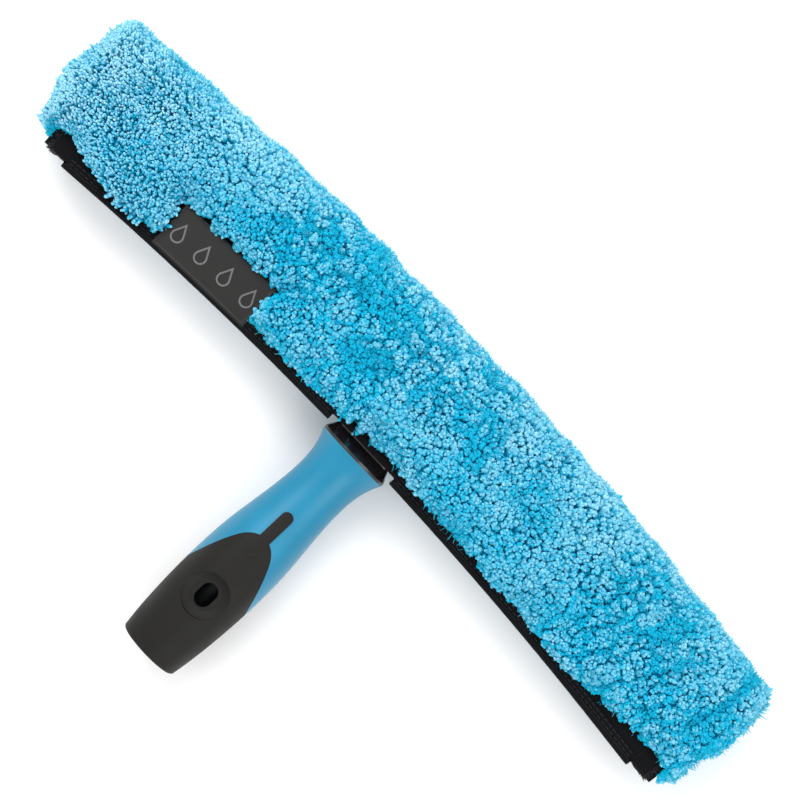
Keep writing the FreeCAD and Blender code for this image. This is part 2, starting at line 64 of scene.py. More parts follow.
# ---- the bar and the sleeve's layers, as the CAD has them ----
BAR_DEPTH = 60 * MM
NOSE_RADIUS = 7 * MM
BAR_HALF = 10 * MM
SLEEVE_GAP = 0.3 * MM
LINING_OUT = 1.5 * MM
TAPE_OUT = 2.4 * MM
LABEL_OUT = 3.2 * MM
HEM_REACH = 3 * MM
HEM_BACK = -2.5 * MM
PANEL_FRONT = -0.3 * MM
PANEL_BACK = -1.2 * MM
FLAP_FRONT = -2.8 * MM
FLAP_BACK = -3.7 * MM
OPENING = 22 * MM  # half the gap in the closure at the neck
TAB_REACH = 12 * MM
LABEL_START = -146 * MM
LABEL_END = -84 * MM
LABEL_REACH = 24 * MM
PILE = 14.5 * MM
END_PILE = 11.5 * MM

NOSE_CENTRE = BAR_DEPTH - NOSE_RADIUS
SLOPE = math.atan2(BAR_HALF, NOSE_CENTRE) - math.asin(NOSE_RADIUS / math.hypot(NOSE_CENTRE, BAR_HALF))
BAR_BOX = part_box("t_bar")
LINING_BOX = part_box("sleeve_lining")
MIDDLE_Y = BAR_BOX[1].y - BAR_DEPTH  # the bar's back face at its middle
MIDDLE_Z = (LINING_BOX[0].z + LINING_BOX[1].z) / 2
BACK_RADIUS = 2022.67 * MM
SLEEVE_END = 218.3 * MM
CLOSURE_END = SLEEVE_END - 14 * MM
TAB_END = SLEEVE_END - 4 * MM
SIDES = {"left": -1, "right": 1}
CAMERA_PLACE = (-4.25 * MM, 65.2 * MM)  # straight above the bar, near its middle
FLOOR_HALF = 2.5
FLOOR_DROP = 0.6 * MM


def srgb(r, g, b):
    """A colour from its 0 to 255 screen values, as the linear one that shaders take."""
    linear = [c / 255 / 12.92 if c <= 10 else ((c / 255 + 0.055) / 1.055) ** 2.4 for c in (r, g, b)]
    return (*linear, 1.0)


def colour_property(name, description, r, g, b):
    return FloatVectorProperty(
        name=name, description=description, subtype="COLOR", size=4, min=0, max=1, default=srgb(r, g, b)
    )


def length_property(name, description, millimetres):
    return FloatProperty(
        name=name, description=description, default=millimetres * MM, min=0, unit="LENGTH", subtype="DISTANCE"
    )


class PileSettings(bpy.types.PropertyGroup):
    lock_spacing: length_property("Lock spacing", "Distance from one lock of pile to the next", 1.25)
    lock_radius: length_property("Lock radius", "Half the width of a lock at its thickest", 1.06)
    clump_size: length_property("Clump size", "Width of the small clumps that the locks gather in", 3.0)
    crease_size: length_property("Crease size", "Distance between the deeper creases", 12)
    crease_depth: length_property("Crease depth", "How far the pile sinks in a crease", 2.8)
    unevenness: length_property("Unevenness", "How far the pile's surface rises and falls", 1.3)
    wisp_length: length_property("Wisp length", "How far single fibres stand out of the pile", 1.6)
    seed: IntProperty(name="Seed", description="Changes the lie of the pile", default=7, min=0)
    # painted light: the root colour is brighter than the middle one, which lifts the shade in the gaps
    # between the locks
    root: colour_property("Root colour", "Pile in the depth of a gap", 6, 198, 234)
    middle: colour_property("Middle colour", "Pile half way up a lock", 22, 172, 208)
    # painted highlight: the pale tip colour stands in for light on the ends of the locks
    tip_highlight: colour_property("Tip colour", "Ends of the locks", 158, 216, 237)


class ClothSettings(bpy.types.PropertyGroup):
    rib_pitch: length_property("Rib pitch", "Distance between the ribs of the binding tape", 0.55)
    knit_pitch: length_property("Knit pitch", "Distance between the wales of the lining", 0.9)
    stitch_length: length_property("Stitch length", "Length of one sewn stitch", 2.6)
    stitch_gap: length_property("Stitch gap", "Gap between two stitches", 0.7)
    thread_radius: length_property("Thread radius", "Half the thread's width", 0.22)
    tape: colour_property("Tape colour", "Binding tape, tabs and flaps", 7, 6, 8)
    lining: colour_property("Lining colour", "Cloth that the pile is knitted on", 7, 8, 10)
    thread: colour_property("Thread colour", "Sewing thread", 24, 23, 26)
    grab: colour_property("Hook and loop colour", "Hooks, loops and the strips under them", 30, 29, 31)


class HandleSettings(bpy.types.PropertyGroup):
    core: colour_property("Handle colour", "Hard plastic of the handle", 4, 122, 157)
    grip: colour_property("Grip colour", "Soft rubber of the grip", 19, 18, 15)
    bar: colour_property("Bar colour", "Moulded plastic of the T-bar", 17, 14, 15)
    steel: colour_property("Screw colour", "Plated steel of the screw and washer", 168, 168, 166)
    label: colour_property("Label colour", "Moulded label", 11, 10, 8)
    ink: colour_property("Ink colour", "Outline printed on the label", 92, 94, 92)


class StudioSettings(bpy.types.PropertyGroup):
    camera_height: length_property("Camera height", "From the bar's middle height up to the camera", 1100)
    turn: FloatProperty(
        name="Turn", description="Turn of the camera about its line of sight",
        default=math.radians(46.65), subtype="ANGLE",
    )
    lens: FloatProperty(name="Lens", description="Focal length in millimetres", default=99.0, min=10)
    floor: colour_property("Floor colour", "Plain studio floor", 250, 250, 250)
    key: FloatProperty(name="Key light", description="Power of the large lamp overhead", default=17.0, min=0)
    fill: FloatProperty(
        name="Fill light", description="Strength of the light from all round", default=1.0, min=0
    )


# ---- places on the bar ----
def bowed(x, d, z):
    """Points at x along the bar's back face, d ahead of it and z above its middle, carried round the bow."""
    x, d, z = np.broadcast_arrays(np.asarray(x, float), d, z)
    turn = x / BACK_RADIUS
    reach = BACK_RADIUS + d
    return np.stack([np.sin(turn) * reach, np.cos(turn) * reach - BACK_RADIUS + MIDDLE_Y, z + MIDDLE_Z], -1)


def bowed_direction(x, along, ahead, up):
    """A direction at x along the bar, given along the bar, ahead of it and up."""
    x, along, ahead, up = np.broadcast_arrays(np.asarray(x, float), along, ahead, up)
    c, s = np.cos(x / BACK_RADIUS), np.sin(x / BACK_RADIUS)
    return np.stack([along * c + ahead * s, ahead * c - along * s, up], -1)


def skin(d, grown, side=1):
    """(d, z) at depth d on a broad face of the bar, grown outwards."""
    return d, side * (BAR_HALF + grown / math.cos(SLOPE) - d * math.tan(SLOPE))


def wrap(s, grown, back):
    """Depth, height and way out of a layer round the bar, at s along it.

    s runs from the upper edge, at depth back, round the nose to the lower one. The way out is an angle
    from up towards ahead.
    """
    radius = NOSE_RADIUS + grown
    start = np.array(skin(back, grown))
    corner = np.array([NOSE_CENTRE + radius * math.sin(SLOPE), radius * math.cos(SLOPE)])
    flat = np.linalg.norm(corner - start)
    bend = radius * (math.pi - 2 * SLOPE)
    s = np.asarray(s, float)
    angle = SLOPE + np.clip((s - flat) / bend, 0, 1) * (math.pi - 2 * SLOPE)
    d = NOSE_CENTRE + radius * np.sin(angle)
    z = radius * np.cos(angle)
    before, after = np.minimum(s - flat, 0), np.maximum(s - flat - bend, 0)
    d = d + (before - after) * math.cos(SLOPE)
    z = z - (before + after) * math.sin(SLOPE)
    return d, z, angle


def wrap_length(grown, back):
    """Length of such a layer from edge to edge."""
    radius = NOSE_RADIUS + grown
    start = np.array(skin(back, grown))
    corner = np.array([NOSE_CENTRE + radius * math.sin(SLOPE), radius * math.cos(SLOPE)])
    return 2 * np.linalg.norm(corner - start) + radius * (math.pi - 2 * SLOPE)


def ease(low, high, value):
    """0 below low, 1 above high, and a smooth rise between them."""
    t = np.clip((np.asarray(value, float) - low) / (high - low), 0, 1)
    return t * t * (3 - 2 * t)


def ripple(points, wavelength, seed, count=14):
    """Smooth seeded unevenness at these points, about -1 to 1."""
    rng = np.random.default_rng(seed)
    way = rng.normal(size=(count, 3))
    way /= np.linalg.norm(way, axis=1)[:, None]
    way *= 2 * math.pi / (wavelength * rng.uniform(0.75, 1.35, (count, 1)))
    phase = rng.uniform(0, 2 * math.pi, count)
    return np.sin(points @ way.T + phase).sum(-1) * math.sqrt(2 / count) * 0.6


def unit(v):
    """Vectors at a length of 1."""
    return v / np.maximum(np.linalg.norm(v, axis=-1, keepdims=True), 1e-12)


# ---- making pieces ----
def new_piece(name, points, faces, body, finish, marks=None, weave=None):
    """A smooth mesh piece from arrays of faces, riding on a body.

    marks are numbers kept for each vertex. weave is where each vertex lies on the flat cloth.
    """
    mesh = bpy.data.meshes.new(name)
    corners = np.concatenate([f.ravel() for f in faces]).astype(np.int32)
    sizes = np.concatenate([np.full(len(f), f.shape[1]) for f in faces])
    mesh.vertices.add(len(points))
    mesh.vertices.foreach_set("co", np.asarray(points, np.float32).ravel())
    mesh.loops.add(len(corners))
    mesh.loops.foreach_set("vertex_index", corners)
    mesh.polygons.add(len(sizes))
    mesh.polygons.foreach_set("loop_start", (np.cumsum(sizes) - sizes).astype(np.int32))
    mesh.polygons.foreach_set("use_smooth", np.ones(len(sizes), bool))
    for mark, values in (marks or {}).items():
        kept = mesh.attributes.new(mark, "FLOAT", "POINT")
        kept.data.foreach_set("value", np.asarray(values, np.float32))
    mesh.update(calc_edges=True)
    if weave is not None:
        layer = mesh.uv_layers.new(name="weave")
        layer.uv.foreach_set("vector", np.asarray(weave, np.float32)[corners].ravel())
    piece = bpy.data.objects.new(name, mesh)
    bpy.context.scene.collection.objects.link(piece)
    mesh.materials.append(finish)
    if body:
        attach(piece, body)
    return piece


def grid_faces(index, close_rows=False, close_columns=False):
    """Four-sided faces over a grid of vertex numbers."""
    if close_rows:
        index = np.concatenate([index, index[:1]])
    if close_columns:
        index = np.concatenate([index, index[:, :1]], 1)
    return np.stack([index[:-1, :-1], index[1:, :-1], index[1:, 1:], index[:-1, 1:]], -1).reshape(-1, 4)


def slab(outer, inner):
    """Points and faces of a closed thin layer between two grids of points."""
    rows, columns = outer.shape[:2]
    index = np.arange(rows * columns).reshape(rows, columns)
    rim = np.concatenate([index[0], index[1:, -1], index[-1, -2::-1], index[-2:0:-1, 0]])
    following = np.roll(rim, -1)
    below = rows * columns
    side = np.stack([rim, following, following + below, rim + below], -1)
    points = np.concatenate([outer.reshape(-1, 3), inner.reshape(-1, 3)])
    return points, [grid_faces(index), grid_faces(index + below)[:, ::-1], side[:, ::-1]]


def cloth_slab(name, outer, inner, along, across, body, finish):
    """A piece of cloth between two grids of points, which lie at along and across on the flat cloth."""
    points, faces = slab(outer, inner)
    along, across = np.broadcast_arrays(along, across)
    weave = np.stack([along.ravel(), across.ravel()], -1)
    return new_piece(name, points, faces, body, finish, weave=np.concatenate([weave, weave]))


def tubes(centres, radii, sides, up):
    """Points and faces of many thin tubes that end in a point, and how many points each has.

    centres is tube, ring, xyz, and radii is tube, ring.
    """
    number, rings = centres.shape[:2]
    first, last = centres[:, 1:2] - centres[:, :1], centres[:, -1:] - centres[:, -2:-1]
    ahead = unit(np.concatenate([first, centres[:, 2:] - centres[:, :-2], last], 1))
    one = unit(np.cross(ahead, up[:, None, :]))
    two = np.cross(ahead, one)
    turn = np.arange(sides) * 2 * math.pi / sides
    ring = one[:, :, None] * np.cos(turn)[:, None] + two[:, :, None] * np.sin(turn)[:, None]
    body = centres[:, :-1, None] + ring[:, :-1] * radii[:, :-1, None, None]
    per_tube = (rings - 1) * sides + 1
    points = np.concatenate([body.reshape(number, -1, 3), centres[:, -1:]], 1).reshape(-1, 3)
    index = np.arange((rings - 1) * sides).reshape(rings - 1, sides)
    quads = grid_faces(index, close_columns=True)
    caps = np.stack([index[-1], np.full(sides, per_tube - 1), np.roll(index[-1], -1)], -1)
    start = (np.arange(number) * per_tube)[:, None, None]
    return points, [(quads[None] + start).reshape(-1, 4), (caps[None] + start).reshape(-1, 3)], per_tube


def thread_line(path, outward, length, gap, radius):
    """Stitches along a path of points, each a small rounded bar that dips into the cloth at its ends."""
    step = np.linalg.norm(np.diff(path, axis=0), axis=1)
    run = np.concatenate([[0], np.cumsum(step)])
    count = max(1, int(run[-1] / (length + gap)))
    pitch = run[-1] / count
    starts = (np.arange(count) + 0.5) * pitch - length / 2
    t = np.array([0.0, 0.12, 0.35, 0.65, 0.88, 1.0])
    places = starts[:, None] + t[None] * length
    centres = np.stack([np.interp(places, run, path[:, i]) for i in range(3)], -1)
    lift = np.stack([np.interp(places, run, outward[:, i]) for i in range(3)], -1)
    height = np.array([-0.9, 0.0, 0.55, 0.55, 0.0, -0.9]) * radius
    centres = centres + lift * height[None, :, None]
    radii = np.broadcast_to(np.array([0.55, 0.95, 1, 1, 0.95, 0.4]) * radius, centres.shape[:2])
    points, faces, _ = tubes(centres, radii, 6, unit(lift[:, 0]))
    return points, faces


def joined(parts):
    """One set of points and faces from several."""
    points, faces, start = [], [], 0
    for part_points, part_faces in parts:
        points.append(part_points)
        faces += [f + start for f in part_faces]
        start += len(part_points)
    return np.concatenate(points), faces


# ---- finishes ----
class Finish:
    """A material being put together from nodes."""

    def __init__(self, name, **values):
        self.material = bpy.data.materials.new(name)
        self.material.use_nodes = True
        self.tree = self.material.node_tree
        self.shader = self.tree.nodes["Principled BSDF"]
        for socket, value in values.items():
            self.shader.inputs[socket.replace("_", " ")].default_value = value

    def node(self, kind, inputs=None, **settings):
        made = self.tree.nodes.new("ShaderNode" + kind)
        for key, value in settings.items():
            setattr(made, key, value)
        for key, value in (inputs or {}).items():
            self.put(value, made.inputs[key])
        return made

    def put(self, value, socket):
        if isinstance(value, bpy.types.NodeSocket):
            self.tree.links.new(value, socket)
        else:
            socket.default_value = value

    def sum(self, operation, a, b=0.0):
        return self.node("Math", {0: a, 1: b}, operation=operation).outputs[0]

    def scaled(self, value, factor, centre=0.0):
        """value times factor, from centre if that is given."""
        from_centre = self.sum("SUBTRACT", value, centre) if centre else value
        return self.sum("MULTIPLY", from_centre, factor)

    def place(self):
        return self.node("TexCoord").outputs["Object"]

    def weave(self):
        return self.node("UVMap", uv_map="weave").outputs["UV"]

    def mark(self, name):
        return self.node("Attribute", attribute_name=name, attribute_type="GEOMETRY").outputs["Fac"]

    def noise(self, where, size, detail=3.0, roughness=0.55, stretch=(1, 1, 1)):
        """Cloudy noise with features of about this size, in metres."""
        moved = self.node("Mapping", {"Vector": where, "Scale": [s / size for s in stretch]})
        inputs = {"Vector": moved.outputs[0], "Scale": 1.0, "Detail": detail, "Roughness": roughness}
        return self.node("TexNoise", inputs).outputs["Fac"]

    def bands(self, where, pitch, direction, wobble=0.0):
        """Waves this far apart."""
        inputs = {"Vector": where, "Scale": 2 * math.pi / pitch / 20, "Distortion": wobble, "Detail": 1.0}
        return self.node("TexWave", inputs, wave_type="BANDS", bands_direction=direction).outputs["Fac"]

    def between(self, fac, low, high, new_low, new_high):
        """fac carried from the range low to high over to the new one."""
        inputs = {"Value": fac, "From Min": low, "From Max": high, "To Min": new_low, "To Max": new_high}
        return self.node("MapRange", inputs).outputs[0]

    def ramp(self, fac, stops):
        made = self.node("ValToRGB", {"Fac": fac})
        elements = made.color_ramp.elements
        while len(elements) < len(stops):
            elements.new(0.5)
        for element, (at, colour) in zip(elements, stops):
            element.position = at
            element.color = colour
        return made.outputs[0]

    def blend(self, fac, a, b):
        """Colour a where fac is 0, and b where it is 1."""
        made = self.node("Mix", {"Factor": fac, 6: a, 7: b}, data_type="RGBA")
        return made.outputs[2]

    def bump(self, height, distance, strength=1.0, after=None):
        inputs = {"Height": height, "Distance": distance, "Strength": strength}
        if after is not None:
            inputs["Normal"] = after
        return self.node("Bump", inputs).outputs[0]

    def use(self, **sockets):
        for socket, value in sockets.items():
            self.put(value, self.shader.inputs[socket.replace("_", " ")])
        return self.material


def shade(colour, factor):
    """A lighter or darker shade of a colour."""
    return tuple(min(1.0, c * factor) for c in colour[:3]) + (1.0,)


def handle_plastic(colour):
    """Satin moulded plastic: faint cloudiness, a fine spark-eroded grain, a few light rubs and painted shade
    inside the socket.
    """
    f = Finish("blue_satin_plastic", Specular_IOR_Level=0.4, Coat_Weight=0.05, Coat_Roughness=0.3)
    where = f.place()
    cloud = f.noise(where, 22 * MM, 3)
    rubs = f.noise(where, 7 * MM, 6, 0.7, (1, 0.25, 1))
    worn = f.between(rubs, 0.62, 0.8, 0.0, 1.0)
    base = f.ramp(cloud, [(0.3, shade(colour, 0.92)), (0.7, shade(colour, 1.08))])
    axis = f.node("SeparateXYZ", {"Vector": where})
    height = f.sum("SUBTRACT", axis.outputs["Z"], MIDDLE_Z)
    across, up = f.sum("POWER", axis.outputs["X"], 2.0), f.sum("POWER", f.sum("ABSOLUTE", height), 2.0)
    # painted shade: the inside of the socket lies in the dark, so it is painted nearly black
    inside = f.between(f.sum("SQRT", f.sum("ADD", across, up)), 15.5 * MM, 14.5 * MM, 0.0, 1.0)
    grain = f.noise(where, 0.35 * MM, 2)
    rubbed = f.blend(f.scaled(worn, 0.14), base, shade(colour, 1.5))
    rough = f.sum("ADD", f.between(cloud, 0.3, 0.7, 0.34, 0.42), f.scaled(worn, 0.1))
    return f.use(
        Base_Color=f.blend(inside, rubbed, shade(colour, 0.02)),
        Roughness=rough,
        Normal=f.bump(grain, 0.02 * MM, 0.5, f.bump(cloud, 0.1 * MM, 0.25)),
    )


def grip_rubber(colour):
    """Soft-touch rubber: a fine pebbled grain, greyer where hands rub it."""
    f = Finish("charcoal_rubber", Specular_IOR_Level=0.24)
    where = f.place()
    cloud = f.noise(where, 16 * MM, 4)
    pebbles = f.node("TexVoronoi", {"Vector": where, "Scale": 1 / (0.55 * MM)}, feature="SMOOTH_F1")
    dust = f.between(f.noise(where, 2.5 * MM, 6, 0.7), 0.55, 0.75, 0, 1)
    base = f.ramp(cloud, [(0.3, shade(colour, 0.85)), (0.72, shade(colour, 1.2))])
    return f.use(
        Base_Color=f.blend(f.scaled(dust, 0.12), base, shade(colour, 2.2)),
        Roughness=f.between(cloud, 0.3, 0.7, 0.52, 0.66),
        Normal=f.bump(pebbles.outputs["Distance"], 0.05 * MM, 0.55, f.bump(cloud, 0.2 * MM, 0.3)),
    )


def bar_plastic(colour):
    """Glossy black moulded plastic with faint flow marks along the bar."""
    f = Finish("black_gloss_plastic", Coat_Weight=0.25, Coat_Roughness=0.15)
    where = f.place()
    flow = f.noise(where, 6 * MM, 5, 0.6, (0.2, 1, 1))
    scuff = f.between(f.noise(where, 1.6 * MM, 7, 0.75, (1, 0.4, 1)), 0.6, 0.78, 0, 1)
    base = f.ramp(flow, [(0.3, shade(colour, 0.8)), (0.7, shade(colour, 1.35))])
    return f.use(
        Base_Color=f.blend(f.scaled(scuff, 0.2), base, shade(colour, 4)),
        Roughness=f.sum("ADD", f.between(flow, 0.3, 0.7, 0.2, 0.3), f.scaled(scuff, 0.2)),
        Normal=f.bump(flow, 0.06 * MM, 0.4),
    )


def plated_steel(colour):
    """Zinc-plated steel: turned marks and a slightly uneven plating."""
    f = Finish("plated_steel", Metallic=1.0)
    where = f.place()
    turned = f.noise(where, 0.5 * MM, 3, 0.6, (0.3, 3, 0.3))
    cloud = f.noise(where, 3 * MM, 4)
    return f.use(
        Base_Color=f.ramp(cloud, [(0.3, shade(colour, 0.8)), (0.7, shade(colour, 1.1))]),
        Roughness=f.between(turned, 0.3, 0.7, 0.24, 0.42),
        Normal=f.bump(turned, 0.03 * MM, 0.6),
    )


def binding_tape(colour, pitch):
    """Ribbed polyester tape with a little lint."""
    f = Finish("ribbed_tape", Sheen_Weight=0.05, Sheen_Roughness=0.5, Specular_IOR_Level=0.12)
    cloth = f.weave()
    ribs = f.bands(cloth, pitch, "X", 0.4)
    cross = f.bands(cloth, pitch * 0.6, "Y", 0.6)
    height = f.sum("ADD", ribs, f.scaled(cross, 0.5))
    lint = f.between(f.noise(f.place(), 0.8 * MM, 6, 0.8), 0.64, 0.78, 0, 1)
    cloud = f.noise(f.place(), 14 * MM, 4)
    # painted shade: the grooves between the ribs are painted darker and the crests lighter
    base = f.ramp(height, [(0.1, shade(colour, 0.45)), (1.0, shade(colour, 1.25))])
    dusty = f.blend(f.between(cloud, 0.35, 0.7, 0, 0.3), base, shade(colour, 1.6))
    return f.use(
        Base_Color=f.blend(f.scaled(lint, 0.25), dusty, shade(colour, 5)),
        Roughness=f.between(height, 0, 1.5, 0.9, 0.72),
        Normal=f.bump(height, 0.09 * MM, 0.9),
    )


def knitted_lining(colour, pitch):
    """Knitted backing cloth: wales and courses."""
    f = Finish("knitted_lining", Sheen_Weight=0.05, Sheen_Roughness=0.6, Specular_IOR_Level=0.12)
    cloth = f.weave()
    wales = f.bands(cloth, pitch, "X", 0.3)
    courses = f.bands(cloth, pitch * 0.75, "DIAGONAL", 0.8)
    height = f.sum("MULTIPLY", wales, courses)
    fuzz = f.noise(f.place(), 0.6 * MM, 5, 0.7)
    fuzzy = f.sum("ADD", height, f.scaled(fuzz, 0.4))
    # painted shade: the colour follows the knit's height and fuzz, darker in the grooves between wales and
    # courses
    return f.use(
        Base_Color=f.ramp(fuzzy, [(0.1, shade(colour, 0.5)), (1.0, shade(colour, 1.5))]),
        Roughness=f.between(height, 0, 1, 0.95, 0.8),
        Normal=f.bump(height, 0.12 * MM, 0.9, f.bump(fuzz, 0.05 * MM, 0.6)),
    )


def sewing_thread(colour):
    """Twisted polyester thread."""
    f = Finish("sewing_thread", Sheen_Weight=0.1, Specular_IOR_Level=0.3)
    where = f.place()
    twist = f.noise(where, 0.25 * MM, 2, 0.5)
    return f.use(
        Base_Color=f.ramp(twist, [(0.3, shade(colour, 0.55)), (0.7, shade(colour, 1.4))]),
        Roughness=f.between(twist, 0.3, 0.7, 0.5, 0.8),
        Normal=f.bump(twist, 0.06 * MM, 0.8),
    )


def grab_plastic(colour):
    """Nylon of the hooks and loops."""
    f = Finish("hook_and_loop_nylon", Sheen_Weight=0.2, Specular_IOR_Level=0.45)
    where = f.place()
    fine = f.noise(where, 0.4 * MM, 4, 0.6)
    cloud = f.noise(where, 5 * MM, 3)
    mixed = f.sum("ADD", f.scaled(fine, 0.6), f.scaled(cloud, 0.4))
    return f.use(
        Base_Color=f.ramp(mixed, [(0.35, shade(colour, 0.6)), (0.65, shade(colour, 1.5))]),
        Roughness=f.between(fine, 0.3, 0.7, 0.4, 0.65),
        Normal=f.bump(fine, 0.05 * MM, 0.6),
    )


def label_rubber(colour):
    """Satin moulded label with faint brushing along it."""
    f = Finish("label_rubber", Specular_IOR_Level=0.3, Coat_Weight=0.08, Coat_Roughness=0.3)
    where = f.place()
    brushed = f.noise(where, 1.2 * MM, 4, 0.6, (0.15, 1, 1))
    cloud = f.noise(where, 9 * MM, 3)
    return f.use(
        Base_Color=f.ramp(cloud, [(0.3, shade(colour, 0.82)), (0.7, shade(colour, 1.2))]),
        Roughness=f.between(brushed, 0.3, 0.7, 0.32, 0.5),
        Normal=f.bump(brushed, 0.05 * MM, 0.5),
    )


def label_ink(colour):
    """Grey ink, thinner in places."""
    f = Finish("label_ink")
    worn = f.noise(f.place(), 0.9 * MM, 5, 0.7)
    return f.use(
        Base_Color=f.ramp(worn, [(0.3, shade(colour, 0.6)), (0.6, shade(colour, 1.1))]),
        Roughness=f.between(worn, 0.3, 0.7, 0.4, 0.6),
        Normal=f.bump(worn, 0.03 * MM, 0.5),
    )


def pile_fibre(root, middle, tip_highlight):
    """Blue microfibre pile with painted light: a deeper, brighter blue towards the roots, which lifts the
    shade in the gaps, and paler at the tips and where it is brushed, a painted highlight.
    """
    f = Finish(
        "blue_pile", Specular_IOR_Level=0.06,
        Subsurface_Weight=0.35, Subsurface_Scale=1.2 * MM, Subsurface_Radius=(1.0, 1.0, 1.0),
    )
    height = f.mark("height")
    lock = f.mark("lock")
    fine = f.noise(f.place(), 0.7 * MM, 4, 0.7)
    patch = f.noise(f.place(), 30 * MM, 3)
    value = f.sum("ADD", height, f.scaled(lock, 0.16, 0.5))
    value = f.sum("ADD", value, f.scaled(fine, 0.16, 0.5))
    value = f.sum("ADD", value, f.scaled(patch, 0.34, 0.5))
    # painted light: the ramp runs from the lifted root colour through the middle one to the pale tip
    # highlight
    colour = f.ramp(value, [(0.0, root), (0.74, middle), (1.0, tip_highlight)])
    strands = f.noise(f.place(), 0.25 * MM, 3, 0.7)
    return f.use(
        Base_Color=colour,
        Roughness=f.between(fine, 0.3, 0.7, 0.85, 0.98),
        Normal=f.bump(strands, 0.12 * MM, 0.5),
    )


# ---- pieces ----
class WASHER_OT_stage(bpy.types.Operator):
    """Camera, floor and lamps"""

    bl_idname = "washer.stage"
    bl_label = "Stage"

    def execute(self, context):
        s = context.scene.studio
        scene = context.scene
        camera = bpy.data.objects.new("camera", bpy.data.cameras.new("camera"))
        scene.collection.objects.link(camera)
        camera.data.lens = s.lens
        camera.data.sensor_width = 36
        camera.location = (*CAMERA_PLACE, MIDDLE_Z + s.camera_height)
        camera.rotation_euler = (0, 0, s.turn)
        scene.camera = camera

        f = Finish("studio_floor")
        paper = f.noise(f.place(), 3 * MM, 5)
        f.use(
            Base_Color=f.ramp(paper, [(0.3, shade(s.floor, 0.985)), (0.7, tuple(s.floor))]),
            Roughness=f.between(paper, 0.3, 0.7, 0.75, 0.85),
        )
        rows = 24
        place = np.linspace(-FLOOR_HALF, FLOOR_HALF, rows)
        x, y = np.meshgrid(place, place, indexing="ij")
        points = np.stack([x, y, np.full(x.shape, -FLOOR_DROP)], -1).reshape(-1, 3)
        faces = [grid_faces(np.arange(rows * rows).reshape(rows, rows))]
        new_piece("floor", points, faces, None, f.material)

        def lamp(name, size, power, place):
            data = bpy.data.lights.new(name, "AREA")
            data.shape = "RECTANGLE"
            data.size, data.size_y = size
            data.energy = power
            made = bpy.data.objects.new(name, data)
            made.location = place
            made.rotation_euler = (Vector((0, 0.03, 0)) - Vector(place)).to_track_quat("-Z", "Y").to_euler()
            scene.collection.objects.link(made)

        lamp("key_lamp", (1.3, 0.9), s.key, (-0.75, 0.75, 1.35))
        lamp("side_lamp", (0.9, 0.9), s.key * 0.35, (0.95, -0.25, 1.1))
        world = bpy.data.worlds.new("studio")
        scene.world = world
        world.use_nodes = True
        background = world.node_tree.nodes["Background"]
        background.inputs["Color"].default_value = (1, 1, 1, 1)
        background.inputs["Strength"].default_value = s.fill
        scene.view_settings.view_transform = "Standard"
        scene.view_settings.look = "None"
        return {"FINISHED"}


class WASHER_OT_bar(bpy.types.Operator):
    """Finish of the T-bar"""

    bl_idname = "washer.bar"
    bl_label = "T-bar"

    def execute(self, context):
        repaint("t_bar", bar_plastic(context.scene.handle.bar))
        return {"FINISHED"}


class WASHER_OT_handle(bpy.types.Operator):
    """Finishes of the handle's hard core and soft grip"""

    bl_idname = "washer.handle"
    bl_label = "Handle"

    def execute(self, context):
        repaint("handle_core", handle_plastic(context.scene.handle.core))
        repaint("soft_grip", grip_rubber(context.scene.handle.grip))
        return {"FINISHED"}


class WASHER_OT_screw(bpy.types.Operator):
    """Finish of the neck screw and its washer"""

    bl_idname = "washer.screw"
    bl_label = "Screw"

    def execute(self, context):
        steel = plated_steel(context.scene.handle.steel)
        repaint("neck_screw", steel)
        repaint("neck_washer", steel)
        return {"FINISHED"}


def repaint(node, finish):
    """Gives a carried-over CAD node its finish."""
    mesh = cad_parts[node].data
    if not mesh.materials:
        mesh.materials.append(finish)
    for i in range(len(mesh.materials)):
        mesh.materials[i] = finish


def stations(low, high, step):
    """Evenly spaced places from low to high, about step apart."""
    return np.linspace(low, high, max(2, int(round((high - low) / step)) + 1))


def edge_retreat(x):
    """How far the pile's back edge stands ahead of the hem, at x along the bar."""
    left, right = ease(178 * MM, 206 * MM, -x), ease(140 * MM, 208 * MM, x)
    neck = 1 - ease(19 * MM, 27 * MM, np.abs(x))
    return 7.5 * MM * left + 8.5 * MM * right + 1.2 * MM * neck


